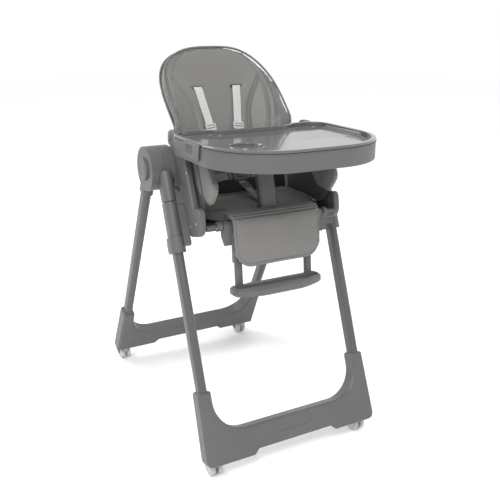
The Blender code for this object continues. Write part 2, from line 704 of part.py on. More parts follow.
def back_point(up, forward):
    """World Y and Z of a point given along the back plane and in front of it."""
    sine = math.sin(BACK_LEAN)
    cosine = math.cos(BACK_LEAN)
    return (BACK_ORIGIN.y + up * sine - forward * cosine,
            BACK_ORIGIN.z + up * cosine + forward * sine)


def recline_axis():
    """World Y and Z of the rod that the back turns on."""
    return back_point(RECLINE_DOWN, -RECLINE_BEHIND)


def wing(x, up):
    """How far the bucket shape of the back comes forward at a point."""
    if up >= WING_TOP:
        rise = 0.0
    elif up >= WING_LOW:
        rise = (WING_TOP - up) / (WING_TOP - WING_LOW)
    else:
        low = BACK_CENTRE - BACK_HALF_HEIGHT
        share = min(1.0, (WING_LOW - up) / (WING_LOW - low))
        rise = max(0.0, math.cos(math.pi / 2 * share)) ** 0.8
    return WING_DEPTH * rise * abs(x / BACK_HALF_WIDTH) ** 2.4


def back_sheet(name, front, thickness, columns=10):
    """An egg-shaped bucket sheet: a grid mapped to a superellipse, bent and thickened.

    front is the distance of its front face before the back plane, and thickness runs back.
    Every sheet has the same grid, so that their facets nest.
    """
    def build(bm):
        bmesh.ops.create_grid(bm, x_segments=columns, y_segments=columns, size=1.0)
        for vert in bm.verts:
            u, v = vert.co.x, vert.co.y
            reach = max(abs(u), abs(v))
            if reach > 0.0:
                length = math.hypot(u, v)
                cosine, sine = u / length, v / length
                scale = (abs(cosine) ** BACK_SHAPE + abs(sine) ** BACK_SHAPE) ** (-1 / BACK_SHAPE)
                u, v = reach * scale * cosine, reach * scale * sine
            x = u * BACK_HALF_WIDTH
            up = BACK_CENTRE + v * BACK_HALF_HEIGHT
            vert.co = Vector((x, -front - wing(x, up), up))
        bmesh.ops.triangulate(bm, faces=bm.faces, quad_method='FIXED')
        rear = bmesh.ops.extrude_face_region(bm, geom=bm.faces[:])["geom"]
        moved = [item for item in rear if isinstance(item, bmesh.types.BMVert)]
        bmesh.ops.translate(bm, vec=(0.0, thickness, 0.0), verts=moved)
    return mesh_object(name, build)


def back(rig):
    """Shell with pivot lugs, cushion, shoulder straps with adjusters and recline handle."""
    shell = back_sheet("back_shell", -PADDING - SEAT_GAP * 3, SHELL_THICKNESS)
    put(shell, "back_shell", PLASTIC, rig)
    low = RECLINE_DOWN
    behind = RECLINE_BEHIND
    shell_rear = PADDING + SHELL_THICKNESS
    for _, side in SIDES:
        lug = [(behind - LUG_RADIUS, low - LUG_RADIUS, LUG_RADIUS * 0.95),
               (behind + LUG_RADIUS, low - LUG_RADIUS, LUG_RADIUS * 0.95),
               (shell_rear + 0.004, low + 0.10, 0.004), (shell_rear - 0.009, low + 0.10, 0.0),
               (shell_rear - 0.009, low + 0.03, 0.0)]
        join(shell, side_plate("lug", lug, LUG_WIDTH), at=(side * LUG_X, 0.0, 0.0),
             turn=TURN_SIDE)
    cut(shell, cylinder("lug_bore", AXLE_ROD * 1.1, 1.0, 24), at=(0.0, behind, low),
        turn=TURN_ACROSS)
    put(back_sheet("back_cushion", 0.0, PADDING), "back_cushion", COVER, rig)

    hang = [(0.006, 2 * TURN_GAP), (-0.060, 0.006), (-0.113, 0.013), (-0.205, 0.020)]
    path = [(up, out + wing(STRAP_X + STRAP_WIDTH / 2, up)) for up, out in hang]
    front = [(-out - STRAP_THICKNESS, up, 0.0) for up, out in path]
    rear = [(-out, up, 0.0) for up, out in reversed(path)]
    for word, side in SIDES:
        put(side_plate("strap", front + rear, STRAP_WIDTH), f"shoulder_strap_{word}",
            PALE_WEBBING, rig, (side * STRAP_X, 0.0, 0.0), TURN_SIDE)
        up, out = path[2]
        put(box("adjuster", (STRAP_WIDTH + 0.008, 0.005, 0.014)), f"strap_adjuster_{word}",
            PLASTIC, rig, (side * STRAP_X, -out - STRAP_THICKNESS - 0.0045, up - 0.004))

    behind_shell = shell_rear + 0.0012
    grip = [fillet(rectangle(-0.055, -0.0225, 0.055, 0.0225, 0.020)),
            fillet(rectangle(-0.040, -0.0120, 0.040, 0.0080, 0.009))]
    handle = outline("handle", grip, 0.012, 0.003)
    put(handle, "recline_handle", PLASTIC, rig, (0.0, behind_shell + 0.006, -0.030), TURN_FRONT)


# ---------------------------------------------------------------- leg rest

def leg_rest(rig):
    """Pad on a frame hung from a rod, with the foot bar's tubes sliding in the frame."""
    frame_plate = [(REST_HALF_WIDTH - 0.004, PAD_TOP, 0.012),
                   (REST_HALF_WIDTH - 0.004, PAD_BOTTOM + 0.012, 0.045)]
    plate_y = PLATE_FRONT + PLATE_THICKNESS / 2
    frame = outline("leg_rest_frame", [fillet(mirrored(frame_plate))], PLATE_THICKNESS, 0.002)
    put(frame, "leg_rest_frame", PLASTIC, rig, (0.0, plate_y, 0.0), TURN_FRONT)
    cheek = [(-0.011, 0.011, 0.0108), (0.011, 0.011, 0.0108), (0.011, -0.030, 0.008),
             (PLATE_FRONT + 0.0015, -0.060, 0.004), (PLATE_FRONT + 0.0015, -0.012, 0.0)]
    cheek_inner = FOOT_TUBE_X + FOOT_TUBE_WIDTH / 2 + HOUSING_WALL
    cheek_span = CHEEK_X + CHEEK_WIDTH / 2 - cheek_inner
    housing_y = PLATE_FRONT + PLATE_THICKNESS + FOOT_TUBE_DEPTH / 2 + HOUSING_WALL - 0.001
    housing_low = PAD_BOTTOM + 0.012
    for _, side in SIDES:
        join(frame, side_plate("cheek", cheek, cheek_span),
             at=(side * (CHEEK_X + CHEEK_WIDTH / 2 - cheek_span / 2), 0.0, 0.0), turn=TURN_SIDE)
    for _, side in SIDES:
        wall = 2 * HOUSING_WALL
        housing = outline("housing", [fillet(rectangle(
            -(FOOT_TUBE_WIDTH + wall) / 2, -(FOOT_TUBE_DEPTH + wall) / 2,
            (FOOT_TUBE_WIDTH + wall) / 2, (FOOT_TUBE_DEPTH + wall) / 2, 0.005))],
            HOUSING_TOP - housing_low)
        join(frame, housing, at=(side * FOOT_TUBE_X, housing_y, (HOUSING_TOP + housing_low) / 2))
    for _, side in SIDES:
        bore = outline("foot_bore", [foot_section(SLIDE_GAP)], 0.3)
        cut(frame, bore, at=(side * FOOT_TUBE_X, housing_y, HOUSING_TOP - 0.1495))
    cut(frame, cylinder("rest_bore", AXLE_ROD * 1.08, 1.0, 24), turn=TURN_ACROSS)

    rod_length = 2 * (SIDE_INNER_X - SEAT_GAP * 2)
    put(cylinder("rod", AXLE_ROD, rod_length, 24), "leg_rest_axle", STEEL,
        at=REST_PIVOT, turn=TURN_ACROSS)
    pad_half = [(REST_HALF_WIDTH, PAD_TOP, 0.008), (REST_HALF_WIDTH, PAD_BOTTOM, 0.055)]
    pad_depth = PLATE_FRONT - SEAT_GAP - PAD_FRONT_BOTTOM
    pad = outline("leg_rest_pad", [fillet(mirrored(pad_half))], pad_depth, 0.005)
    put(pad, "leg_rest_pad", COVER, rig, (0.0, PAD_FRONT_BOTTOM + pad_depth / 2, 0.0), TURN_FRONT)
    slope = [(PAD_FRONT_TOP, PAD_TOP + 0.002, 0.0), (PAD_FRONT_BOTTOM - 0.001, -0.075, 0.0),
             (PAD_FRONT_BOTTOM - 0.02, -0.075, 0.0), (PAD_FRONT_BOTTOM - 0.02, PAD_TOP + 0.02, 0.0),
             (PAD_FRONT_TOP, PAD_TOP + 0.02, 0.0)]
    cut(pad, side_plate("pad_slope", slope, 1.0), turn=TURN_SIDE)

    disc_radius = 0.0125
    for word, side in SIDES:
        inner = CHEEK_X + CHEEK_WIDTH / 2 + SLIDE_GAP * 5
        disc = cylinder("rest_latch", disc_radius, 0.014, 32)
        put(disc, f"leg_rest_latch_{word}", PLASTIC, rig,
            (side * (inner + 0.007), 0.0, 0.0), TURN_ACROSS)
        cut(disc, cylinder("latch_bore", AXLE_ROD * 1.08, 0.1, 24), at=(side * inner, 0.0, 0.0),
            turn=TURN_ACROSS)
    foot_bar(rig, housing_y)


def foot_section(clearance):
    """Points of the foot bar tube's rounded section, grown by a clearance."""
    half_x = FOOT_TUBE_WIDTH / 2 + clearance
    half_y = FOOT_TUBE_DEPTH / 2 + clearance
    return fillet(rectangle(-half_x, -half_y, half_x, half_y, half_y * 0.85))


def foot_bar(rig, tube_y):
    """Two flat tubes and a bowed bar with a sunk top."""
    rear = tube_y + FOOT_TUBE_DEPTH / 2 + 0.003
    bar_half = [(FOOT_BAR_HALF, rear, 0.012), (FOOT_BAR_HALF, -0.028, 0.022), (0.070, -0.056, 0.14)]
    bar = outline("foot_bar", [fillet(mirrored(bar_half))],
                  FOOT_BAR_THICKNESS, 0.006)
    put(bar, "foot_bar", PLASTIC, rig, (0.0, 0.0, -FOOT_BAR_DROP))
    sunk = [(FOOT_BAR_HALF - 0.010, -0.006, 0.004), (FOOT_BAR_HALF - 0.010, -0.026, 0.012),
            (0.066, -0.048, 0.10)]
    cut(bar, outline("foot_bar_sink", [fillet(mirrored(sunk))], 0.010),
        at=(0.0, 0.0, -FOOT_BAR_DROP + FOOT_BAR_THICKNESS / 2))
    top = HOUSING_TOP - 0.012
    low = -FOOT_BAR_DROP
    for _, side in SIDES:
        join(bar, outline("foot_tube", [foot_section(0.0)], top - low),
             at=(side * FOOT_TUBE_X, tube_y, (top + low) / 2))


# ---------------------------------------------------------------- tray

def tray_outline():
    """Corners of the tray in plan: round front, belly cut-out at the rear."""
    half = [(TRAY_BELLY_HALF - 0.030, TRAY_REAR - TRAY_BELLY, 0.040),
            (TRAY_BELLY_HALF, TRAY_REAR, 0.040), (TRAY_HALF_WIDTH, TRAY_REAR, TRAY_REAR_CORNER),
            (TRAY_HALF_WIDTH, TRAY_FRONT, TRAY_FRONT_CORNER)]
    return [fillet(mirrored(half))]


def slab(name, low, high, inset=0.0, edge=0.0):
    """A slice of the tray's plan between two heights."""
    solid = outline(name, tray_outline(), high - low, edge, inset)
    return solid, (0.0, 0.0, (high + low) / 2)


def tray():
    """Tray base with a band all round and a deck, its lid, latches and release handle."""
    deck_top = RAIL_TOP + 0.007
    deck_low = deck_top - TRAY_WALL
    body, at = slab("tray_base", TRAY_BOTTOM, TRAY_SPLIT)
    put(body, "tray_base", PLASTIC, at=at)
    well, at = slab("tray_well", deck_top, TRAY_SPLIT + 0.01, TRAY_WALL)
    cut(body, well, at=at)
    under, at = slab("tray_under", TRAY_BOTTOM - 0.01, deck_low, TRAY_WALL)
    cut(body, under, at=at)
    notch_x = (SIDE_INNER_X + SIDE_OUTER_X) / 2
    notch_low = TRAY_BOTTOM - 0.01
    notch_high = RAIL_TOP + TURN_GAP
    size = (SIDE_OUTER_X - SIDE_INNER_X + 4 * TURN_GAP, 0.12, notch_high - notch_low)
    for _, side in SIDES:
        cut(body, box("rail_notch", size),
            at=(side * notch_x, TRAY_REAR, (notch_high + notch_low) / 2))
    tray_lid()
    lid_latches()
    grip = outline("tray_handle", [fillet(rectangle(-0.040, -0.452, 0.040, -0.425, 0.008))],
                   0.014, 0.002)
    put(grip, "tray_handle", PLASTIC, at=(0.0, 0.0, deck_low - 0.010))


def tray_lid():
    """A dished lid that drops into the tray base, with a round cup recess."""
    low = TRAY_SPLIT + SEAT_GAP
    lid, at = slab("tray_lid", low, TRAY_SPLIT + LID_RIM, 0.0, 0.002)
    put(lid, "tray_lid", GLOSS, at=at)
    plug_low = TRAY_SPLIT - LID_FLOOR - LID_SKIN
    plug, at = slab("lid_plug", plug_low, low + 0.002, TRAY_WALL + 2 * SEAT_GAP)
    join(lid, plug, at=at)
    cup_low = plug_low - CUP_DEPTH
    cup = cylinder("cup_boss", CUP_RADIUS + LID_SKIN, TRAY_SPLIT - cup_low, 32)
    join(lid, cup, at=(*CUP_AT, (TRAY_SPLIT + cup_low) / 2))
    dish, at = slab("lid_dish", TRAY_SPLIT - LID_FLOOR, TRAY_SPLIT + 0.02, LID_RIM_WIDTH)
    cut(lid, dish, at=at)
    cup_floor = cup_low + LID_SKIN
    cut(lid, cylinder("cup_recess", CUP_RADIUS, 0.04, 32), at=(*CUP_AT, cup_floor + 0.02))


def lid_latches():
    """Clips on the lid's sides that fold down over the tray band."""
    thickness = 0.005
    gap = TURN_GAP / 2
    shape = [(-0.285, 0.846, 0.010), (-0.205, 0.846, 0.010), (-0.198, 0.8865, 0.003),
             (-0.292, 0.8865, 0.003)]
    for word, side in SIDES:
        put(side_plate("lid_latch", shape, thickness, 0.0015), f"lid_latch_{word}", PLASTIC,
            at=(side * (TRAY_HALF_WIDTH + gap + thickness / 2), 0.0, 0.0), turn=TURN_SIDE)


# ---------------------------------------------------------------- harness

def harness():
    """Buckle with its button, waist straps and crotch strap, all on the seat."""
    buckle_axes = axes("buckle_axes", (0.0, -0.030, 0.742), math.radians(-35.0))
    body = outline("buckle", [fillet(rectangle(-0.024, -0.019, 0.024, 0.019, 0.008))], 0.012, 0.002)
    put(body, "buckle", PLASTIC, buckle_axes, turn=TURN_FRONT)
    cut(body, cylinder("button_well", 0.0105, 0.010, 32), at=(0.0, -0.006, 0.0), turn=TURN_FRONT)
    put(cylinder("button", 0.0100, 0.0040, 32), "buckle_button", PLASTIC, buckle_axes,
        (0.0, -0.0055, 0.0), TURN_FRONT)
    strap_start = 0.024 + SEAT_GAP * 2
    strap_end = 0.104
    length = strap_end - strap_start
    for word, side in SIDES:
        put(box("waist_strap", (length, STRAP_THICKNESS, STRAP_WIDTH)), f"waist_strap_{word}",
            WEBBING, buckle_axes, (side * (strap_start + strap_end) / 2, 0.002, 0.0))
    rear_y = -0.046
    front_y = POST_FOOT_Y + POST_DEPTH
    low = CUSHION_TOP + TURN_GAP
    shape = [(rear_y, 0.722, 0.0), (-0.085, low + 0.008, 0.0), (front_y, low, 0.0),
             (front_y, low + STRAP_THICKNESS, 0.0), (-0.085, low + 0.008 + STRAP_THICKNESS, 0.0),
             (rear_y, 0.722 + STRAP_THICKNESS, 0.0)]
    put(side_plate("crotch_strap", shape, STRAP_WIDTH), "crotch_strap", WEBBING, turn=TURN_SIDE)


# ---------------------------------------------------------------- assembly

clear_scene()
LEVEL = axes("level_axes", (0.0, 0.0, 0.0))
front_axes = leg_frames()
for end_word, _ in ENDS:
    for side_word, side_sign in SIDES:
        caster(end_word, side_word, side_sign)
for side_word, side_sign in SIDES:
    carriage(side_word, side_sign, front_axes)
    seat_side(side_word, side_sign)
    side_flap(side_word, side_sign)
seat_pan()
crotch_post()
seat_cushion()
back(axes("back_axes", BACK_ORIGIN, -BACK_LEAN))
leg_rest(axes("leg_rest_axes", REST_PIVOT, -REST_TILT))
tray()
harness()
bpy.context.view_layer.update()
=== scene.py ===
"""Looks of a folding baby high chair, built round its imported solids.

Units are metres, +Z is up and the seated child faces -Y; left is the child's left, at +X.
"""

import json
import logging
import math
from dataclasses import dataclass, field
from typing import Callable, Iterable, Sequence

import bmesh
import bpy
import numpy as np
from mathutils import Matrix, Vector
from mathutils.bvhtree import BVHTree


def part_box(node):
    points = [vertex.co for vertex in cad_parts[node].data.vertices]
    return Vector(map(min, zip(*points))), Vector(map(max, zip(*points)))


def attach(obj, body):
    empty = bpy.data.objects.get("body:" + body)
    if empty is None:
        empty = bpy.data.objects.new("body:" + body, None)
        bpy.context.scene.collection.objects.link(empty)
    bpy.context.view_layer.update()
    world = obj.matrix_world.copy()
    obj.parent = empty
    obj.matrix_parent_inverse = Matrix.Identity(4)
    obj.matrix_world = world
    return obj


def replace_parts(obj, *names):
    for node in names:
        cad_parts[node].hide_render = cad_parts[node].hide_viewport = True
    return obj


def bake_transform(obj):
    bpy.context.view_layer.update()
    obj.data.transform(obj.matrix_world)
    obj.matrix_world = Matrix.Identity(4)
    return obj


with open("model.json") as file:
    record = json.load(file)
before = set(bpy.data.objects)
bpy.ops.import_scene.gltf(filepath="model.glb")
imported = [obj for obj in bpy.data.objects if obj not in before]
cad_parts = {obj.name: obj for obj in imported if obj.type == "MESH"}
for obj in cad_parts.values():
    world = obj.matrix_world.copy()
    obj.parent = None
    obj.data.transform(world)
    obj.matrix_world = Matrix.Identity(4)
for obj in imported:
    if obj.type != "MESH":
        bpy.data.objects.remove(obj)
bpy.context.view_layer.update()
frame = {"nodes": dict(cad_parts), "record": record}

LOG = logging.getLogger("high_chair")
RECORD = frame["record"]
BODY_OF = {node: body for body, nodes in RECORD["behaviour"]["bodies"].items() for node in nodes}
SLOT_OF = {part["node"]: part["material_slot"] for part in RECORD["subparts"]}
SIDES = (("left", 1), ("right", -1))
ENDS = ("front", "rear")
Point = Sequence[float]
WELD = 0.00001           # vertices nearer than this are one


# ---------------------------------------------------------------- finishes

class Graph:
    """A material's node tree, with short ways to add and link nodes."""

    def __init__(self, name: str) -> None:
        """Start an empty tree with a Principled shader.

        Args:
            name: The material's name.
        """
        self.material = bpy.data.materials.new(name)
        self.material.use_nodes = True
        self.tree = self.material.node_tree
        self.shader = self.tree.nodes["Principled BSDF"]
        self.coords = self.tree.nodes.new("ShaderNodeTexCoord")

    def node(self, kind: str, **values: object) -> bpy.types.Node:
        """Add a node and set its inputs or properties by name.

        Args:
            kind: The node's type name.
            values: Input or property values; an output socket is linked.

        Returns:
            The new node.
        """
        made = self.tree.nodes.new("ShaderNode" + kind)
        for key, value in values.items():
            label = key.replace("_", " ").title() if key not in ("operation", "blend_type") else key
            target = made.inputs.get(label)
            if target is None:
                setattr(made, key, value)
            elif isinstance(value, bpy.types.NodeSocket):
                self.tree.links.new(value, target)
            else:
                target.default_value = value
        return made

    def set(self, **values: object) -> None:
        """Set or link the shader's own inputs, named with underscores."""
        for key, value in values.items():
            target = self.shader.inputs[key.replace("_", " ")]
            if isinstance(value, bpy.types.NodeSocket):
                self.tree.links.new(value, target)
            else:
                target.default_value = value

    def object_noise(self, scale: float, detail: float = 2.0) -> bpy.types.NodeSocket:
        """Return noise of a scale per metre on Object coordinates."""
        made = self.node("TexNoise", vector=self.coords.outputs["Object"], scale=scale,
                         detail=detail)
        return made.outputs["Fac"]

    def spread(self, value: bpy.types.NodeSocket, low: float, high: float) -> bpy.types.NodeSocket:
        """Return a value of 0 to 1 mapped to low to high."""
        made = self.node("MapRange", value=value, to_min=low, to_max=high)
        return made.outputs["Result"]

    def tones(self, value: bpy.types.NodeSocket, dark: Point, light: Point
              ) -> bpy.types.NodeSocket:
        """Return a colour between two tones, by a value that mostly lies near 0.5."""
        ramp = self.tree.nodes.new("ShaderNodeValToRGB")
        ramp.color_ramp.elements[0].position = 0.3
        ramp.color_ramp.elements[1].position = 0.7
        ramp.color_ramp.elements[0].color = (*dark, 1.0)
        ramp.color_ramp.elements[1].color = (*light, 1.0)
        self.tree.links.new(value, ramp.inputs["Fac"])
        return ramp.outputs["Color"]

    def bump(self, height: bpy.types.NodeSocket, distance: float, strength: float = 1.0,
             normal: bpy.types.NodeSocket | None = None) -> bpy.types.NodeSocket:
        """Return a bumped normal, laid over another where one is given."""
        made = self.node("Bump", height=height, distance=distance, strength=strength)
        if normal is not None:
            self.tree.links.new(normal, made.inputs["Normal"])
        return made.outputs["Normal"]


def shade(colour: Point, factor: float) -> tuple[float, float, float]:
    """Return a colour made lighter or darker by a factor."""
    return tuple(min(1.0, part * factor) for part in colour)


@dataclass(frozen=True)
class Finish:
    """A surface finish; subclasses add their own detail."""

    name: str
    colour: tuple[float, float, float]
    roughness: float = 0.5

    def detail(self, graph: Graph) -> None:
        """Fill in the finish's own nodes."""
        graph.set(Base_Color=(*self.colour, 1.0))

    def material(self) -> bpy.types.Material:
        """Return the material, made on first use."""
        found = bpy.data.materials.get(self.name)
        if found is None:
            graph = Graph(self.name)
            graph.set(Roughness=self.roughness)
            self.detail(graph)
            found = graph.material
        return found


@dataclass(frozen=True)
class MouldedPlastic(Finish):
    """Satin moulded plastic with a spark-eroded grain and faint flow marks."""

    grain: float = 1500.0
    depth: float = 0.00006
    variation: float = 0.05

    def detail(self, graph: Graph) -> None:
        """Grain in the bump, flow marks in tone and gloss."""
        flow = graph.object_noise(9.0, 4.0)
        graph.set(Base_Color=graph.tones(flow, shade(self.colour, 1 - self.variation),
                                         shade(self.colour, 1 + self.variation)))
        rubbed = graph.object_noise(60.0, 5.0)
        graph.set(Roughness=graph.spread(rubbed, self.roughness - 0.07, self.roughness + 0.07))
        grain = graph.object_noise(self.grain, 3.0)
        graph.set(Normal=graph.bump(grain, self.depth))


@dataclass(frozen=True)
class GlossPlastic(Finish):
    """Polished plastic with faint wiping marks under a clear surface."""

    def detail(self, graph: Graph) -> None:
        """Fine long scratches and a slow ripple."""
        graph.set(Base_Color=graph.tones(graph.object_noise(14.0), shade(self.colour, 0.97),
                                         shade(self.colour, 1.03)))
        mapping = graph.node("Mapping", vector=graph.coords.outputs["Object"],
                             scale=(60.0, 900.0, 60.0), rotation=(0.0, 0.0, 0.5))
        marks = graph.node("TexNoise", vector=mapping.outputs["Vector"], scale=1.0, detail=6.0)
        graph.set(Roughness=graph.spread(marks.outputs["Fac"], self.roughness * 0.6,
                                         self.roughness * 1.6))
        graph.set(Normal=graph.bump(graph.object_noise(45.0), 0.00008))
        graph.set(Coat_Weight=0.6, Coat_Roughness=0.05)


@dataclass(frozen=True)
class PowderCoat(Finish):
    """Powder-coated tube: fine orange peel and a slight metallic fleck."""

    def detail(self, graph: Graph) -> None:
        """Orange peel in the bump and flecks in the tone."""
        flecks = graph.object_noise(2600.0, 1.0)
        graph.set(Base_Color=graph.tones(flecks, shade(self.colour, 0.93),
                                         shade(self.colour, 1.08)))
        graph.set(Metallic=0.25)
        graph.set(Roughness=graph.spread(graph.object_noise(35.0, 3.0),
                                         self.roughness - 0.05, self.roughness + 0.08))
        graph.set(Normal=graph.bump(graph.object_noise(750.0), 0.00012))


@dataclass(frozen=True)
class EcoLeather(Finish):
    """Soft coated cloth with a pebbled grain, creases and a dull sheen."""

    pebble: float = 820.0

    def detail(self, graph: Graph) -> None:
        """Pebbles over broad creases, with painted shade darkening the dips between the pebbles."""
        cells = graph.node("TexVoronoi", vector=graph.coords.outputs["Object"],
                           scale=self.pebble, randomness=1.0)
        cells.feature = 'SMOOTH_F1'
        pebbles = cells.outputs["Distance"]
        slow = graph.object_noise(7.0, 5.0)
        tone = graph.tones(slow, shade(self.colour, 0.93), shade(self.colour, 1.06))
        # Painted shade: the colour is darkened in the dips between pebbles and lightened a little
        # on their tops.
        valley_shade = graph.spread(pebbles, 1.03, 0.90)
        mixed = graph.node("VectorMath", operation='SCALE')
        graph.tree.links.new(tone, mixed.inputs[0])
        graph.tree.links.new(valley_shade, mixed.inputs["Scale"])
        graph.set(Base_Color=mixed.outputs["Vector"])
        graph.set(Roughness=graph.spread(graph.object_noise(90.0, 4.0),
                                         self.roughness - 0.06, self.roughness + 0.07))
        creases = graph.node("TexNoise", vector=graph.coords.outputs["Object"], scale=38.0,
                             detail=3.0, distortion=1.2)
        soft = graph.bump(creases.outputs["Fac"], 0.0011, 0.55)
        graph.set(Normal=graph.bump(pebbles, -0.00022, 0.8, soft))
        graph.set(Sheen_Weight=0.04, Sheen_Roughness=0.5)


@dataclass(frozen=True)
class Webbing(Finish):
    """Woven strap whose picks follow its own length and width."""

    picks: float = 14.0
    rows: float = 9.0

    def detail(self, graph: Graph) -> None:
        """A twill of crossing bands, with painted shade darkening it between its yarns, with firm
        edges.
        """
        place = graph.coords.outputs["UV"]
        heights = []
        for turn in (0.62, -0.62):
            mapping = graph.node("Mapping", vector=place, scale=(self.rows, self.picks, 1.0),
                                 rotation=(0.0, 0.0, turn))
            wave = graph.node("TexWave", vector=mapping.outputs["Vector"], scale=1.0,
                              distortion=0.35, detail=1.0)
            heights.append(wave.outputs["Fac"])
        weave = graph.node("Math", operation='MULTIPLY')
        for index, height in enumerate(heights):
            graph.tree.links.new(height, weave.inputs[index])
        # Painted shade: the colour follows the weave's height, darker where the yarns dip.
        graph.set(Base_Color=graph.tones(weave.outputs[0], shade(self.colour, 0.72),
                                         shade(self.colour, 1.05)))
        fuzz = graph.bump(graph.object_noise(4200.0, 2.0), 0.00012)
        graph.set(Normal=graph.bump(weave.outputs[0], 0.00045, 1.0, fuzz))
        graph.set(Sheen_Weight=0.25, Sheen_Roughness=0.6)


@dataclass(frozen=True)
class LinerCloth(Finish):
    """Plain-weave backing cloth on Object coordinates."""

    threads: float = 850.0

    def detail(self, graph: Graph) -> None:
        """Crossing threads with slubs, and painted shade darkening the dips between the threads."""
        heights = []
        for turn in (0.0, math.pi / 2):
            mapping = graph.node("Mapping", vector=graph.coords.outputs["Object"],
                                 rotation=(0.0, turn, 0.4))
            wave = graph.node("TexWave", vector=mapping.outputs["Vector"], scale=self.threads / 6,
                              distortion=0.6, detail=2.0)
            heights.append(wave.outputs["Fac"])
        weave = graph.node("Math", operation='MULTIPLY')
        for index, height in enumerate(heights):
            graph.tree.links.new(height, weave.inputs[index])
        # Painted shade: the colour follows the threads' height, darker where they dip between one
        # another.
        graph.set(Base_Color=graph.tones(weave.outputs[0], shade(self.colour, 0.8),
                                         shade(self.colour, 1.2)))
        graph.set(Normal=graph.bump(weave.outputs[0], 0.0003))
        graph.set(Sheen_Weight=0.2)


@dataclass(frozen=True)
class BrightSteel(Finish):
    """Drawn steel with fine lengthwise marks."""

    def detail(self, graph: Graph) -> None:
        """Marks drawn along X, which is the way the rods run."""
        mapping = graph.node("Mapping", vector=graph.coords.outputs["Object"],
                             scale=(40.0, 2500.0, 2500.0))
        marks = graph.node("TexNoise", vector=mapping.outputs["Vector"], scale=1.0, detail=3.0)
        graph.set(Base_Color=(*self.colour, 1.0), Metallic=1.0)
        graph.set(Roughness=graph.spread(marks.outputs["Fac"], self.roughness - 0.08,
                                         self.roughness + 0.12))
        graph.set(Normal=graph.bump(marks.outputs["Fac"], 0.00004))


GREY = (0.089, 0.0850, 0.0860)
LEATHER_GREY = (0.148, 0.1450, 0.1385)
PLASTIC = MouldedPlastic("satin_plastic", GREY, 0.42)
DARK_PLASTIC = MouldedPlastic("shadow_plastic", shade(GREY, 0.35), 0.6)
TUBE = PowderCoat("powder_coat", shade(GREY, 0.95), 0.36)
COVER = EcoLeather("grained_cover", LEATHER_GREY, 0.5)
PIPING = EcoLeather("piping_leather", shade(LEATHER_GREY, 0.8), 0.45, 1400.0)
THREAD = Webbing("sewing_thread", shade(LEATHER_GREY, 0.42), 0.7, 4.0, 4.0)
LINER = LinerCloth("liner_cloth", shade(GREY, 0.5), 0.85)
PAN_PLASTIC = MouldedPlastic("pan_plastic", shade(GREY, 0.6), 0.5)
ROD_PLASTIC = MouldedPlastic("rod_plastic", shade(GREY, 0.8), 0.35)
WEB = Webbing("waist_webbing", (0.250, 0.247, 0.240), 0.8)
PALE_WEB = Webbing("shoulder_webbing", (0.72, 0.72, 0.70), 0.75)
CASTER = MouldedPlastic("caster_nylon", (0.40, 0.40, 0.41), 0.4)
GLOSS = GlossPlastic("tray_gloss", shade(GREY, 1.0), 0.16)
STEEL = BrightSteel("bright_steel", (0.55, 0.55, 0.56), 0.3)
SLOT_FINISH = {
    "frame_plastic": PLASTIC, "frame_tube": TUBE, "eco_leather": COVER, "webbing": WEB,
    "pale_webbing": PALE_WEB, "caster_plastic": CASTER, "gloss_plastic": GLOSS, "steel": STEEL,
}


# ---------------------------------------------------------------- mesh helpers

def piece(name: str, bm: bmesh.types.BMesh, finish: Finish, body: str,
          crease: float = 35.0) -> bpy.types.Object:
    """Turn a bmesh in the row frame into a piece that rides on a body.

    Args:
        name: The piece's name.
        bm: The mesh, which is used up.
        finish: Its finish.
        body: The body it moves with.
        crease: Edges sharper than this many degrees stay sharp.

    Returns:
        The new object.
    """
    mesh = bpy.data.meshes.new(name)
    bm.to_mesh(mesh)
    bm.free()
    mesh.shade_smooth()
    mesh.set_sharp_from_angle(angle=math.radians(crease))
    mesh.materials.append(finish.material())
    obj = bpy.data.objects.new(name, mesh)
    bpy.context.scene.collection.objects.link(obj)
    if body:
        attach(obj, body)
    return obj


def fills_true(bm: bmesh.types.BMesh) -> bool:
    """Return whether each face's triangles cover it without crossing a hole."""
    bm.normal_update()
    drawn = sum((b.vert.co - a.vert.co).cross(c.vert.co - a.vert.co).length / 2
                for a, b, c in bm.calc_loop_triangles())
    return drawn < 1.002 * sum(face.calc_area() for face in bm.faces)


def merged(node: str, quarters: bool = False) -> bmesh.types.BMesh:
    """Return a welded copy of a CAD node's mesh with its flat faces made whole.

    Args:
        node: The node's name.
        quarters: Cut it through its middle first, so that no flat face rings a hole.

    Returns:
        The copy.
    """
    bm = bmesh.new()
    bm.from_mesh(frame["nodes"][node].data)
    bmesh.ops.remove_doubles(bm, verts=bm.verts, dist=WELD)
    if quarters:
        middle = sum((vert.co for vert in bm.verts), Vector()) / len(bm.verts)
        for way in (Vector((1.0, 0.0, 0.0)), Vector((0.0, 1.0, 0.0))):
            made = bmesh.ops.bisect_plane(bm, geom=bm.verts[:] + bm.edges[:] + bm.faces[:],
                                          plane_co=middle, plane_no=way, dist=WELD)
            for item in made["geom_cut"]:
                if isinstance(item, bmesh.types.BMEdge):
                    item.seam = True
    bmesh.ops.dissolve_limit(bm, angle_limit=math.radians(1.5), verts=bm.verts, edges=bm.edges,
                             use_dissolve_boundaries=False, delimit={'SEAM'})
    return bm


def shrunk(node: str, factors: Point) -> bmesh.types.BMesh:
    """Return a merged copy of a CAD node, scaled about the middle of its box."""
    low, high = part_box(node)
    bm = merged(node)
    middle = (low + high) / 2
    bmesh.ops.translate(bm, vec=-middle, verts=bm.verts)
    bmesh.ops.scale(bm, vec=factors, verts=bm.verts)
    bmesh.ops.translate(bm, vec=middle, verts=bm.verts)
    return bm


def outer_face(node: str, side: int) -> float:
    """Return X of the face of a node that looks away from the seat."""
    low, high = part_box(node)
    return high.x if side > 0 else low.x


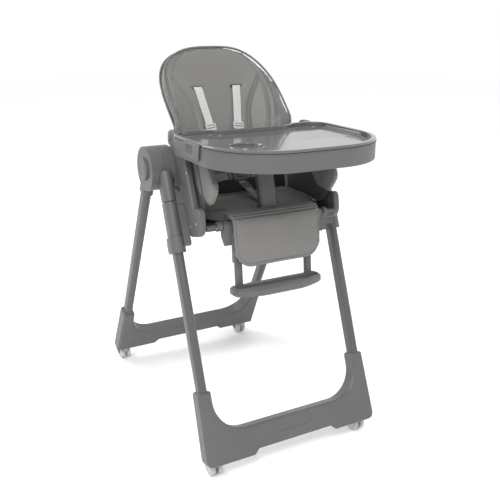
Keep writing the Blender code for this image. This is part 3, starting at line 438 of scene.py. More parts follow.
def round_edges(bm: bmesh.types.BMesh, width: float, segments: int = 2, sharper: float = 32.0,
                keep: Callable[[bmesh.types.BMEdge], bool] | None = None) -> None:
    """Bevel every edge that is sharper than an angle.

    Args:
        bm: The mesh.
        width: The bevel's width.
        segments: Its segments.
        sharper: The least angle, in degrees.
        keep: Chooses among those edges, if given.
    """
    edges = [edge for edge in bm.edges
             if len(edge.link_faces) == 2
             and edge.calc_face_angle(0.0) > math.radians(sharper)
             and (keep is None or keep(edge))]
    bmesh.ops.bevel(bm, geom=edges, offset=width, offset_type='OFFSET', affect='EDGES',
                    segments=segments, profile=0.5, clamp_overlap=True, material=-1)


def moulded(node: str, width: float = 0.0012, segments: int = 2, finish: Finish | None = None,
            keep: Callable[[bmesh.types.BMEdge], bool] | None = None) -> bpy.types.Object:
    """Stand in for a hard CAD node with a copy whose edges are rounded.

    Args:
        node: The CAD node.
        width: The rounding's width.
        segments: Its segments.
        finish: Its finish, where that isn't its slot's own.
        keep: Chooses which sharp edges are rounded.

    Returns:
        The copy.
    """
    for quarters in (False, True):
        bm = merged(node, quarters)
        round_edges(bm, width, segments, keep=keep)
        if fills_true(bm):
            break
        LOG.info("%s is cut in quarters: %s", node, not quarters)
    slot = SLOT_OF[node]
    obj = piece(node + "_moulding", bm, finish or SLOT_FINISH[slot], BODY_OF[node], 30.0)
    weigh = obj.modifiers.new("Weighted Normal", 'WEIGHTED_NORMAL')
    weigh.keep_sharp = True
    with_modifiers(obj)
    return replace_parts(obj, node)


def polygon(bm: bmesh.types.BMesh, corners: Iterable[tuple[float, float, float]],
            segments: int = 8) -> bmesh.types.BMFace:
    """Add a flat face in X and Y whose corners (x, y, rounding length) are rounded.

    Args:
        bm: The mesh to add to.
        corners: Corner places with how far along each edge the rounding starts.
        segments: Segments in a rounded corner.

    Returns:
        The face.
    """
    corners = list(corners)
    verts = [bm.verts.new((x, y, 0.0)) for x, y, _ in corners]
    bm.faces.new(verts)
    for vert, (_, _, reach) in zip(verts, corners):
        if reach > 0.0:
            bmesh.ops.bevel(bm, geom=[vert], offset=reach, offset_type='OFFSET',
                            affect='VERTICES', segments=segments, profile=0.5, material=-1)
    return max(bm.faces, key=lambda item: item.calc_area())


def swept(profile: Sequence[tuple[float, float]], steps: int = 32) -> bmesh.types.BMesh:
    """Return a solid of revolution about Z from (radius, height) points."""
    bm = bmesh.new()
    verts = [bm.verts.new((radius, 0.0, height)) for radius, height in profile]
    edges = [bm.edges.new(pair) for pair in zip(verts, verts[1:])]
    bmesh.ops.spin(bm, geom=verts + edges, cent=(0.0, 0.0, 0.0), axis=(0.0, 0.0, 1.0),
                   angle=math.tau, steps=steps, use_merge=True)
    bmesh.ops.remove_doubles(bm, verts=bm.verts, dist=WELD / 2)
    bmesh.ops.recalc_face_normals(bm, faces=bm.faces)
    return bm


def placed(bm: bmesh.types.BMesh, at: Point, axis: Point = (0.0, 0.0, 1.0)
           ) -> bmesh.types.BMesh:
    """Turn a mesh so that its Z runs along an axis, and move it to a point."""
    turn = Vector(axis).to_track_quat('Z', 'Y').to_matrix().to_4x4()
    bm.transform(Matrix.Translation(Vector(at)) @ turn)
    return bm


def plate(corners: Sequence[tuple[float, float, float]], thickness: float, edge: float = 0.0008,
          segments: int = 6) -> bmesh.types.BMesh:
    """Return a rounded plate in X and Y, centred on Z = 0."""
    bm = bmesh.new()
    face = polygon(bm, corners, segments)
    bmesh.ops.recalc_face_normals(bm, faces=[face])
    made = bmesh.ops.extrude_face_region(bm, geom=[face], use_keep_orig=True)["geom"]
    lifted = [item for item in made if isinstance(item, bmesh.types.BMVert)]
    bmesh.ops.translate(bm, vec=(0.0, 0.0, thickness), verts=lifted)
    bmesh.ops.translate(bm, vec=(0.0, 0.0, -thickness / 2), verts=bm.verts)
    bmesh.ops.recalc_face_normals(bm, faces=bm.faces)
    round_edges(bm, edge, 2, 50.0)
    return bm


def box_corners(half_x: float, half_y: float, reach: float
                ) -> list[tuple[float, float, float]]:
    """Return a rectangle's corners with equal rounding."""
    return [(-half_x, -half_y, reach), (half_x, -half_y, reach), (half_x, half_y, reach),
            (-half_x, half_y, reach)]


def smooth_path(points: Sequence[Point], per_span: int = 8, closed: bool = False
                ) -> list[Vector]:
    """Return points on a Catmull-Rom line through the given points."""
    given = [Vector(point) for point in points]
    count = len(given)
    spans = count if closed else count - 1
    found = []
    for index in range(spans):
        before = given[(index - 1) % count] if closed or index > 0 else given[0]
        start = given[index]
        end = given[(index + 1) % count]
        after = given[(index + 2) % count] if closed or index + 2 < count else end
        for step in range(per_span):
            t = step / per_span
            found.append(0.5 * ((2 * start) + (end - before) * t
                                + (2 * before - 5 * start + 4 * end - after) * t * t
                                + (3 * start - before - 3 * end + after) * t ** 3))
    if not closed:
        found.append(given[-1])
    return found


def tube(path: Sequence[Point], radius: float, closed: bool = False, sides: int = 8
         ) -> bmesh.types.BMesh:
    """Return a round cord swept along a path."""
    curve = bpy.data.curves.new("swept_line", 'CURVE')
    curve.dimensions = '3D'
    curve.bevel_depth = radius
    curve.bevel_resolution = max(0, sides // 4 - 1) + 1
    curve.use_fill_caps = not closed
    spline = curve.splines.new('POLY')
    spline.points.add(len(path) - 1)
    for point, place in zip(spline.points, path):
        point.co = (*place, 1.0)
    spline.use_cyclic_u = closed
    holder = bpy.data.objects.new("swept_line", curve)
    bpy.context.scene.collection.objects.link(holder)
    mesh = bpy.data.meshes.new_from_object(
        holder.evaluated_get(bpy.context.evaluated_depsgraph_get()))
    bm = bmesh.new()
    bm.from_mesh(mesh)
    bpy.data.objects.remove(holder)
    bpy.data.meshes.remove(mesh)
    bmesh.ops.remove_doubles(bm, verts=bm.verts, dist=WELD)
    bmesh.ops.recalc_face_normals(bm, faces=bm.faces)
    return bm


def ribbon(path: Sequence[Vector], across: Sequence[Vector], width: float, thickness: float
           ) -> bmesh.types.BMesh:
    """Return a flat strap: a grid laid along a path, with a UV map in widths.

    Args:
        path: Centre-line points.
        across: A unit vector over the width at each point.
        width: The strap's width.
        thickness: Its thickness.

    Returns:
        The strap's mesh, whose weave follows its UV map.
    """
    bm = bmesh.new()
    layer = bm.loops.layers.uv.new("UVMap")
    lanes = 6
    rows = len(path) - 1
    bmesh.ops.create_grid(bm, x_segments=lanes, y_segments=rows, size=1.0)
    lengths = [0.0]
    for first, second in zip(path, path[1:]):
        lengths.append(lengths[-1] + (second - first).length)
    for vert in bm.verts:
        side = vert.co.x
        row = round((vert.co.y + 1.0) / 2.0 * rows)
        vert.co = path[row] + across[row] * side * width / 2
        for loop in vert.link_loops:
            loop[layer].uv = ((side + 1.0) / 2.0, lengths[row] / width)
    bmesh.ops.recalc_face_normals(bm, faces=bm.faces)
    bmesh.ops.solidify(bm, geom=bm.faces[:], thickness=thickness)
    bmesh.ops.recalc_face_normals(bm, faces=bm.faces)
    return bm


def add_mesh(target: bmesh.types.BMesh, other: bmesh.types.BMesh) -> None:
    """Put another bmesh, which is used up, into a target."""
    mesh = bpy.data.meshes.new("part")
    other.to_mesh(mesh)
    other.free()
    target.from_mesh(mesh)
    bpy.data.meshes.remove(mesh)


# ---------------------------------------------------------------- soft goods

@dataclass
class Seam:
    """A sewn line that pulls the cover in along its points."""

    points: list[tuple[float, float]]
    depth: float = 0.0035
    width: float = 0.0045
    closed: bool = False

    def segments(self) -> tuple[np.ndarray, np.ndarray]:
        """Return the start and end points of its short straight pieces."""
        path = smooth_path([(x, y, 0.0) for x, y in self.points], 8, self.closed)
        line = np.array([(point.x, point.y) for point in path])
        if self.closed:
            line = np.vstack([line, line[:1]])
        return line[:-1], line[1:]

    def distance(self, places: np.ndarray) -> np.ndarray:
        """Return each place's distance from the line."""
        nearest = np.full(len(places), 1.0)
        for start, end in zip(*self.segments()):
            run = end - start
            share = np.clip(((places - start) @ run) / max(run @ run, 1e-12), 0.0, 1.0)
            off = places - (start + share[:, None] * run)
            nearest = np.minimum(nearest, np.hypot(off[:, 0], off[:, 1]))
        return nearest


def coordinates(mesh: bpy.types.Mesh) -> np.ndarray:
    """Return a mesh's vertex places as rows."""
    places = np.zeros(len(mesh.vertices) * 3, np.float64)
    mesh.vertices.foreach_get("co", places)
    return places.reshape(-1, 3)


def vertex_normals(mesh: bpy.types.Mesh) -> np.ndarray:
    """Return a mesh's vertex normals as rows."""
    normals = np.zeros(len(mesh.vertices) * 3, np.float64)
    mesh.vertices.foreach_get("normal", normals)
    return normals.reshape(-1, 3)


def with_modifiers(obj: bpy.types.Object) -> bpy.types.Mesh:
    """Apply an object's modifiers to its mesh and return the mesh."""
    graph = bpy.context.evaluated_depsgraph_get()
    mesh = bpy.data.meshes.new_from_object(obj.evaluated_get(graph))
    obj.modifiers.clear()
    obj.data = mesh
    return mesh


@dataclass
class Padding:
    """Stuffing for one cover: remeshed, blown up by cloth simulation, capped and smoothed."""

    voxel: float = 0.006
    pressure: float = 4.0
    cap: float = 0.006
    frames: int = 20

    def fill(self, obj: bpy.types.Object) -> None:
        """Swell an object's closed mesh and apply the result.

        Args:
            obj: The cover, slightly smaller than the finished pad.
        """
        remesh = obj.modifiers.new("Remesh", 'REMESH')
        remesh.mode = 'VOXEL'
        remesh.voxel_size = self.voxel
        relax = obj.modifiers.new("Relax", 'SMOOTH')
        relax.factor = 0.5
        relax.iterations = 3
        mesh = with_modifiers(obj)
        self.simulate(obj, mesh)
        grow = obj.modifiers.new("Subdivision", 'SUBSURF')
        grow.levels = 1
        grow.render_levels = 1
        with_modifiers(obj)

    def simulate(self, obj: bpy.types.Object, mesh: bpy.types.Mesh) -> None:
        """Run the cloth simulation and keep each point within the cap."""
        before = coordinates(mesh)
        cloth = obj.modifiers.new("Cloth", 'CLOTH')
        cloth.settings.use_pressure = True
        cloth.settings.uniform_pressure_force = self.pressure
        cloth.settings.effector_weights.gravity = 0.0
        cloth.settings.quality = 4
        cloth.collision_settings.use_collision = False
        cloth.point_cache.frame_start = 1
        cloth.point_cache.frame_end = self.frames
        scene = bpy.context.scene
        for step in range(1, self.frames + 1):
            scene.frame_set(step)
        graph = bpy.context.evaluated_depsgraph_get()
        after = coordinates(obj.evaluated_get(graph).data)
        obj.modifiers.clear()
        move = after - before
        length = np.linalg.norm(move, axis=1)
        share = np.minimum(1.0, self.cap / np.maximum(length, 1e-9))
        mesh.vertices.foreach_set("co", (before + move * share[:, None]).ravel())
        mesh.update()
        scene.frame_set(1)


def sew(obj: bpy.types.Object, flatten: Callable[[np.ndarray], np.ndarray], seams: list[Seam],
        facing: Point, puff: float = 0.002, reach: float = 0.02) -> None:
    """Pull the cover in at its seams and crown the panels between them.

    Args:
        obj: The pad, whose mesh is changed.
        flatten: Gives each vertex its place on the flat pattern.
        seams: The sewn lines on the pattern.
        facing: The way the sewn side faces.
        puff: How far the middle of a panel stands out.
        reach: How far from a seam it takes to stand out.
    """
    mesh = obj.data
    places = coordinates(mesh)
    normals = vertex_normals(mesh)
    front = np.clip((normals @ np.array(facing)) * 2.0, 0.0, 1.0)
    flat = flatten(places)
    pull = np.zeros(len(places))
    nearest = np.full(len(places), 1.0)
    for seam in seams:
        distance = seam.distance(flat)
        pull = np.maximum(pull, seam.depth * np.exp(-(distance / seam.width) ** 2))
        nearest = np.minimum(nearest, distance)
    crown = puff * (1.0 - np.exp(-nearest / reach))
    places += normals * ((crown - pull) * front)[:, None]
    mesh.vertices.foreach_set("co", places.ravel())
    mesh.update()


def soft_piece(name: str, bm: bmesh.types.BMesh, node: str, padding: Padding
               ) -> bpy.types.Object:
    """Make and fill a padded piece that stands for a soft CAD node; it rides later."""
    obj = piece(name, bm, COVER, "", 180.0)
    padding.fill(obj)
    obj.data.shade_smooth()
    obj.data.materials.clear()
    obj.data.materials.append(COVER.material())
    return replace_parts(obj, node)


def stitches(name: str, body: str, target: bpy.types.Object, path: Sequence[Vector],
             towards: Point, pitch: float = 0.0055, length: float = 0.0036,
             radius: float = 0.0006) -> bpy.types.Object:
    """Sew a row of thread stitches along a line laid on a pad.

    Args:
        name: The row's name.
        body: The body it moves with.
        target: The pad that the stitches lie on.
        path: Points of the line, which is dropped on to the pad.
        towards: The way in which the line is dropped.
        pitch: Distance between stitches.
        length: Length of one stitch.
        radius: Radius of the thread.

    Returns:
        All stitches of the row, as one piece.
    """
    target.data.calc_loop_triangles()
    verts = [vert.co for vert in target.data.vertices]
    tree = BVHTree.FromPolygons(verts, [tuple(tri.vertices)
                                        for tri in target.data.loop_triangles])
    drop = Vector(towards).normalized()
    bm = bmesh.new()
    walked = 0.0
    wanted = pitch / 2
    for start, end in zip(path, path[1:]):
        run = (end - start).length
        while wanted <= walked + run and run > 0.0:
            spot = start.lerp(end, (wanted - walked) / run)
            wanted += pitch
            hit, normal, _, _ = tree.ray_cast(spot - drop * 0.06, drop, 0.12)
            if hit is None:
                continue
            along = (end - start).normalized()
            along = (along - normal * along.dot(normal)).normalized()
            made = bmesh.ops.create_icosphere(bm, subdivisions=1, radius=1.0)["verts"]
            basis = Matrix((along * length / 2, normal.cross(along) * radius,
                            normal * radius)).transposed().to_4x4()
            basis.translation = hit + normal * radius * 0.45
            bmesh.ops.transform(bm, matrix=basis, verts=made)
        walked += run
    bmesh.ops.recalc_face_normals(bm, faces=bm.faces)
    return piece(name, bm, THREAD, body, 180.0)


def draped(line: Sequence[Vector], half_width: Callable[[float], float], thickness: float,
           columns: int = 40) -> bmesh.types.BMesh:
    """Return a slab that hangs along a line in Y and Z, with its outer face on the line.

    Args:
        line: Points of the outer face, from its top down.
        half_width: Gives half the width at a distance along the line.
        thickness: How deep the slab goes behind the line.
        columns: Cells over the width.

    Returns:
        The closed slab.
    """
    reach = [0.0]
    for first, second in zip(line, line[1:]):
        reach.append(reach[-1] + (second - first).length)
    rows = len(line) - 1
    bm = bmesh.new()
    bmesh.ops.create_grid(bm, x_segments=columns, y_segments=rows, size=1.0)
    behind = {}
    for vert in bm.verts:
        row = round((1.0 - vert.co.y) / 2.0 * rows)
        run = (line[min(row + 1, rows)] - line[max(row - 1, 0)]).normalized()
        behind[vert] = Vector((0.0, -run.z, run.y)) * thickness
        vert.co = line[row] + Vector((vert.co.x * half_width(reach[row]), 0.0, 0.0))
    made = bmesh.ops.extrude_face_region(bm, geom=bm.faces[:], use_keep_orig=True)["geom"]
    near = {tuple(round(part, 6) for part in vert.co): move for vert, move in behind.items()}
    for item in made:
        if isinstance(item, bmesh.types.BMVert):
            item.co += near[tuple(round(part, 6) for part in item.co)]
    bmesh.ops.recalc_face_normals(bm, faces=bm.faces)
    return bm


@dataclass
class BackRest:
    """The bucket-shaped back: shell, padded cover with its seams, piping and recline handle."""

    lean: float = math.radians(20.0)
    origin: Vector = field(default_factory=lambda: Vector((0.0, 0.117, 0.970)))
    half_width: float = 0.183
    half_height: float = 0.208
    centre: float = -0.074
    power: float = 3.0
    wing_depth: float = 0.112
    wing_top: float = 0.107
    wing_low: float = -0.115
    padding: float = 0.027
    shell: float = 0.010
    slot_x: float = 0.063
    slot_up: float = 0.0065
    stitch_offset: float = 0.0045

    def wing(self, x: float, up: float) -> float:
        """Return how far the bucket comes forward at a place."""
        if up >= self.wing_top:
            rise = 0.0
        elif up >= self.wing_low:
            rise = (self.wing_top - up) / (self.wing_top - self.wing_low)
        else:
            low = self.centre - self.half_height
            share = (self.wing_low - up) / (self.wing_low - low)
            rise = max(0.0, math.cos(math.pi / 2 * min(1.0, share))) ** 0.8
        return self.wing_depth * rise * abs(x / self.half_width) ** 2.4

    def world(self, x: float, up: float, out: float) -> Vector:
        """Return the place of a point given over the back's plane and in front of it."""
        sine, cosine = math.sin(self.lean), math.cos(self.lean)
        return Vector((x, self.origin.y + up * sine - out * cosine,
                       self.origin.z + up * cosine + out * sine))

    def surface(self, x: float, up: float, proud: float = 0.0) -> Vector:
        """Return a place on the front of the bucket, or proud of it."""
        return self.world(x, up, self.wing(x, up) + proud)

    def flatten(self, places: np.ndarray) -> np.ndarray:
        """Return X and the distance up the back for each place."""
        sine, cosine = math.sin(self.lean), math.cos(self.lean)
        up = ((places[:, 1] - self.origin.y) * sine + (places[:, 2] - self.origin.z) * cosine)
        return np.column_stack([places[:, 0], up])

    def reach_at(self, cosine: float, sine: float) -> float:
        """Return how far a unit superellipse reaches in a direction."""
        return (abs(cosine) ** self.power + abs(sine) ** self.power) ** (-1 / self.power)

    def rim(self, inset: float, out: float, count: int = 96) -> list[Vector]:
        """Return points round the egg, inside its edge and in front of its face."""
        found = []
        for index in range(count):
            angle = math.tau * index / count
            cosine, sine = math.cos(angle), math.sin(angle)
            scale = self.reach_at(cosine, sine)
            x = (self.half_width - inset) * scale * cosine
            up = self.centre + (self.half_height - inset) * scale * sine
            found.append(self.surface(x, up, out))
        return found

    def egg(self, front: float, thickness: float, margin: float, cells: int
            ) -> bmesh.types.BMesh:
        """Return a curved egg-shaped slab from a grid mapped to a superellipse."""
        bm = bmesh.new()
        bmesh.ops.create_grid(bm, x_segments=cells, y_segments=cells, size=1.0)
        for vert in bm.verts:
            u, v = vert.co.x, vert.co.y
            reach = max(abs(u), abs(v))
            if reach > 0.0:
                length = math.hypot(u, v)
                cosine, sine = u / length, v / length
                scale = self.reach_at(cosine, sine)
                u, v = reach * scale * cosine, reach * scale * sine
            x = u * (self.half_width - margin)
            up = self.centre + v * (self.half_height - margin)
            vert.co = Vector((x, -front - self.wing(x, up), up))
        made = bmesh.ops.extrude_face_region(bm, geom=bm.faces[:], use_keep_orig=True)["geom"]
        moved = [item for item in made if isinstance(item, bmesh.types.BMVert)]
        bmesh.ops.translate(bm, vec=(0.0, thickness, 0.0), verts=moved)
        bmesh.ops.recalc_face_normals(bm, faces=bm.faces)
        turn = Matrix.Translation(self.origin) @ Matrix.Rotation(-self.lean, 4, 'X')
        bm.transform(turn)
        return bm

    def seams(self) -> list[Seam]:
        """Return the seams of the cover, on both sides."""
        vee = [(0.137, 0.033), (0.114, -0.005), (0.097, -0.037), (0.086, -0.068),
               (0.080, -0.112), (0.078, -0.17), (0.080, -0.25)]
        inner = [(0.080, 0.116), (0.117, 0.089), (0.139, 0.040), (0.143, 0.000),
                 (0.138, -0.060), (0.129, -0.120), (0.118, -0.200)]
        outer = [(0.118, 0.106), (0.147, 0.069), (0.163, 0.008), (0.158, -0.073),
                 (0.147, -0.135), (0.134, -0.205)]
        found = []
        for _, side in SIDES:
            found.append(Seam([(side * x, y) for x, y in vee], 0.0060, 0.0050))
            found.append(Seam([(side * x, y) for x, y in inner], 0.0032, 0.0030))
            found.append(Seam([(side * x, y) for x, y in outer], 0.0028, 0.0030))
            slot = [(side * (self.slot_x + end), self.slot_up) for end in (-0.015, 0.015)]
            found.append(Seam(slot, 0.0050, 0.0034))
        return found

    def build(self) -> None:
        """Make the cover, piping, seams, slots, shell, handle and skirt."""
        cover = soft_piece("back_cover", self.egg(-0.0035, self.padding - 0.0055, 0.0035, 60),
                           "back_cushion", Padding(0.005, 4.0, 0.006))
        forward = self.world(0.0, 0.0, 1.0) - self.origin
        sew(cover, self.flatten, self.seams(), forward, 0.0022, 0.016)
        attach(cover, "back")
        piece("back_piping", tube(self.rim(0.0062, -0.0022), 0.0031, True), PIPING, "back",
              180.0)
        towards = -forward
        for word, side in SIDES:
            for label, seam in (("inner", 1), ("outer", 2)):
                line = self.seams()[seam if side > 0 else seam + 4].points
                path = smooth_path([self.world(x - side * self.stitch_offset, up, 0.05)
                                    for x, up in line])
                stitches(f"back_{label}_stitches_{word}", "back", cover, path, towards)
            slot = placed(plate(box_corners(0.0165, 0.0042, 0.0036), 0.0012, 0.0004),
                          self.surface(side * self.slot_x, self.slot_up, 0.0012),
                          forward)
            piece(f"strap_slot_{word}", slot, DARK_PLASTIC, "back")
        self.build_shell()
        self.build_skirt()
        LOG.info("back built")

    def build_skirt(self) -> None:
        """Hang the cloth that closes the gap from the cover's lower edge to the seat."""
        line = smooth_path([(0.0, 0.020, 0.732), (0.0, 0.016, 0.710), (0.0, 0.013, 0.686),
                            (0.0, 0.0125, 0.660)], 5)
        skirt = piece("back_skirt", draped(line, lambda reach: 0.180, 0.004), LINER, "",
                      60.0)
        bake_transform(skirt)

    def build_shell(self) -> None:
        """Make the hard shell behind the cover, with its lugs, ribs and handle seat."""
        behind = -self.padding - 0.0009
        bm = self.egg(behind, self.shell, 0.0015, 40)
        round_edges(bm, 0.003, 3, 60.0)
        shell = piece("back_shell_moulding", bm, PLASTIC, "back")
        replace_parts(shell, "back_shell")
        low = -0.305
        for word, side in SIDES:
            lug = plate([(-0.041, low + 0.004, 0.0), (-0.041, low + 0.10, 0.004),
                         (-0.026, low + 0.10, 0.0), (-0.020, low - 0.011, 0.010),
                         (-0.044, low - 0.011, 0.010)], 0.014, 0.0012)
            turn = Matrix(((0, 0, 1), (1, 0, 0), (0, 1, 0))).to_4x4()
            bm_turn = (Matrix.Translation(self.origin) @ Matrix.Rotation(-self.lean, 4, 'X')
                       @ Matrix.Translation((side * 0.060, 0.0, 0.0)) @ turn
                       @ Matrix.Scale(-1, 4, (1, 0, 0)))
            lug.transform(bm_turn)
            bmesh.ops.recalc_face_normals(lug, faces=lug.faces)
            piece(f"back_lug_{word}", lug, PLASTIC, "back")
        for index, up in enumerate((-0.10, -0.15)):
            ribs = smooth_path([self.surface(x, up, -self.padding - self.shell - 0.0012)
                                for x in np.linspace(-0.13, 0.13, 9)], 3)
            piece(f"shell_rib_{index + 1}", tube(ribs, 0.0022), PLASTIC, "back")
        ring = [self.world(0.066 * math.cos(a), -0.030 + 0.033 * math.sin(a),
                           -self.padding - self.shell - 0.0012)
                for a in np.linspace(0.0, math.tau, 48, endpoint=False)]
        piece("handle_seat", tube(ring, 0.0020, True), PLASTIC, "back")
        moulded("recline_handle", 0.0012)


@dataclass
class SeatPad:
    """Seat cushion, side flaps and the liner cloth beside them."""

    def build(self) -> None:
        """Make the padded seat and both flaps."""
        self.build_cushion()
        for word, side in SIDES:
            self.build_flap(word, side)
            self.build_liner(word, side)
        LOG.info("seat pads built")

    def build_liner(self, word: str, side: int) -> None:
        """Hang the thin cloth panel between a flap and the seat's side."""
        corners = [(-0.172, 0.672, 0.004), (0.054, 0.672, 0.010), (0.054, 0.790, 0.030),
                   (0.030, 0.833, 0.010), (-0.202, 0.833, 0.010), (-0.205, 0.700, 0.010)]
        panel = plate(corners, 0.0016, 0.0004)
        turn = Matrix(((0, 0, 1, side * 0.1884), (1, 0, 0, 0), (0, 1, 0, 0), (0, 0, 0, 1)))
        panel.transform(turn)
        bmesh.ops.recalc_face_normals(panel, faces=panel.faces)
        obj = piece(f"side_liner_{word}", panel, LINER, "seat")

    def build_cushion(self) -> None:
        """Swell the seat block and sew a border, a cross channel and the post slot's surround."""
        low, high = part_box("seat_cushion")
        grow = Vector(((high.x - low.x - 0.004) / (high.x - low.x),
                       (high.y - low.y - 0.006) / (high.y - low.y),
                       (high.z - low.z - 0.005) / (high.z - low.z)))
        pad = soft_piece("seat_cover", shrunk("seat_cushion", grow), "seat_cushion",
                         Padding(0.005, 4.0, 0.005))
        side_x, rear, taper = high.x - 0.013, high.y - 0.012, -0.142
        half = [(0.110, -0.205), (0.116, -0.190), (0.130, -0.174), (side_x - 0.012, taper - 0.014),
                (side_x, taper + 0.014), (side_x, (taper + rear) / 2), (side_x, rear - 0.03),
                (side_x - 0.030, rear), (0.07, rear)]
        corners = half + [(-x, y) for x, y in reversed(half)]
        slot = [(x, y) for x, y in ((0.036, -0.224), (0.040, -0.200), (0.036, -0.176),
                                    (0.0, -0.172), (-0.036, -0.176), (-0.040, -0.200),
                                    (-0.036, -0.224))]
        channel = [(low.x + 0.03, -0.075), (0.0, -0.070), (high.x - 0.03, -0.075)]
        seams = [Seam(corners, 0.003, 0.004), Seam(channel, 0.003, 0.005),
                 Seam(slot, 0.002, 0.003)]
        sew(pad, lambda places: places[:, :2], seams, (0.0, 0.0, 1.0), 0.0015)
        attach(pad, "seat")
        for label, points in (("border", corners), ("slot", slot)):
            path = smooth_path([(x, y, high.z) for x, y in points], 6)
            stitches(f"seat_{label}_stitches", "seat", pad, path, (0.0, 0.0, -1.0))

    def build_flap(self, word: str, side: int) -> None:
        """Swell a side flap, with a seam down its middle between two rows of stitches."""
        node = f"side_flap_{word}"
        pad = soft_piece(f"side_flap_cover_{word}", shrunk(node, (0.8, 0.97, 0.97)), node,
                         Padding(0.0045, 4.0, 0.004))
        spine = [(-0.152, 0.830), (-0.172, 0.795), (-0.188, 0.755), (-0.198, 0.724)]
        seams = [Seam(spine, 0.0035, 0.0032)]

        def side_view(places: np.ndarray) -> np.ndarray:
            """Return Y and Z."""
            return places[:, 1:]

        for facing in (1.0, -1.0):
            sew(pad, side_view, seams, (facing, 0.0, 0.0), 0.001)
        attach(pad, "seat")
        for index, shift in enumerate((-0.004, 0.004)):
            path = smooth_path([(side * 0.15, y + shift, z + shift * 0.4) for y, z in spine])
            stitches(f"flap_stitches_{word}_{index + 1}", "seat", pad, path, (side, 0.0, 0.0))


@dataclass
class LegRest:
    """The flap from the seat down over the leg rest, and the hard parts under it."""

    pivot: Vector = field(default_factory=lambda: Vector((0.0, -0.228, 0.660)))
    tilt: float = math.radians(5.0)
    half_width: float = 0.134
    corner: float = 0.055

    def world(self, x: float, out: float, up: float) -> Vector:
        """Return the place of a point given in the leg rest's own tilted axes."""
        return self.pivot + Matrix.Rotation(-self.tilt, 3, 'X') @ Vector((x, -out, up))

    def line(self) -> list[Vector]:
        """Return the outer line of the flap in Y and Z, from the seat's front down."""
        return smooth_path([(0.0, y, z) for y, z in (
            (-0.2080, 0.6915), (-0.2200, 0.6920), (-0.2340, 0.6895), (-0.2475, 0.6800),
            (-0.2545, 0.6620), (-0.2570, 0.6400), (-0.2640, 0.6000), (-0.2700, 0.5600),
            (-0.2715, 0.5475))], 7)

    def flap_width(self, reach: float) -> float:
        """Return half the flap's width at a distance down its line."""
        line = self.line()
        length = sum((second - first).length for first, second in zip(line, line[1:]))
        into = max(0.0, reach - (length - self.corner))
        return (self.half_width - self.corner
                + math.sqrt(max(0.0, self.corner ** 2 - into ** 2)))

    def unrolled(self, places: np.ndarray) -> np.ndarray:
        """Return X and the distance down the flap's line for each place."""
        line = np.array([(point.y, point.z) for point in self.line()])
        reach = np.concatenate([[0.0], np.cumsum(np.hypot(*np.diff(line, axis=0).T))])
        gaps = np.hypot(places[:, 1:2] - line[:, 0], places[:, 2:3] - line[:, 1])
        nearest = gaps.argsort(axis=1)[:, :2]
        weight = 1.0 / np.maximum(np.take_along_axis(gaps, nearest, 1), 1e-6)
        down = (reach[nearest] * weight).sum(axis=1) / weight.sum(axis=1)
        return np.column_stack([places[:, 0], down])

    def hem(self, inset: float, start: float) -> list[tuple[float, float]]:
        """Return the sewn U inside the flap's edge, from one top corner round to the other."""
        line = self.line()
        length = sum((second - first).length for first, second in zip(line, line[1:]))
        wide, corner = self.half_width - inset, self.corner - inset
        low = length - inset
        half = [(wide, start), (wide, (start + low - corner) / 2), (wide, low - corner)]
        for step in range(1, 7):
            angle = math.pi / 2 * step / 6
            half.append((wide - corner * (1 - math.cos(angle)),
                         low - corner * (1 - math.sin(angle))))
        half.append((0.03, low))
        return half + [(-x, down) for x, down in reversed(half)]

    def on_line(self, x: float, down: float) -> Vector:
        """Return the point of the flap's outer face at X and a distance down."""
        line = self.line()
        for first, second in zip(line, line[1:]):
            run = (second - first).length
            if down <= run:
                return first.lerp(second, down / run) + Vector((x, 0.0, 0.0))
            down -= run
        return line[-1] + Vector((x, 0.0, 0.0))

    def build(self) -> None:
        """Make the flap with its stitches, and the moulded parts."""
        flap = soft_piece("leg_rest_flap", draped(self.line(), self.flap_width, 0.0115, 60),
                          "leg_rest_pad", Padding(0.0042, 4.0, 0.003))
        hem = self.hem(0.0105, 0.052)
        lines = [[(-0.130, down), (0.0, down), (0.130, down)] for down in (0.034, 0.042)]
        seams = [Seam(hem, 0.0026, 0.0030)] + [Seam(line, 0.0022, 0.0024) for line in lines]
        forward = self.world(0.0, 1.0, 0.0) - self.pivot
        sew(flap, self.unrolled, seams, (0.0, -0.9, 0.42), 0.0012, 0.02)
        front = Vector((0.0, -0.9, 0.42)).normalized()
        for label, points, way in (("hem", hem, forward), ("upper", lines[0], front),
                                   ("lower", lines[1], front)):
            path = smooth_path([self.on_line(x, down) for x, down in points], 8)
            stitches(f"leg_rest_{label}_stitches", "leg_rest" if label == "hem" else "seat",
                     flap, path, -way, 0.0052)
        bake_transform(flap)
        moulded("leg_rest_frame", 0.001)
        moulded("foot_bar", 0.0022, 3)
        for word, side in SIDES:
            moulded(f"leg_rest_latch_{word}", 0.0012)
            face = outer_face(f"leg_rest_latch_{word}", side)
            cap = swept([(0.0, 0.0009), (0.0060, 0.0009), (0.0072, 0.0002), (0.0072, -0.0006),
                         (0.0, -0.0006)], 24)
            piece(f"latch_cap_{word}", placed(cap, (face, self.pivot.y, self.pivot.z),
                                              (side, 0.0, 0.0)), STEEL,
                  f"leg_rest_latch_{word}")
        LOG.info("leg rest built")


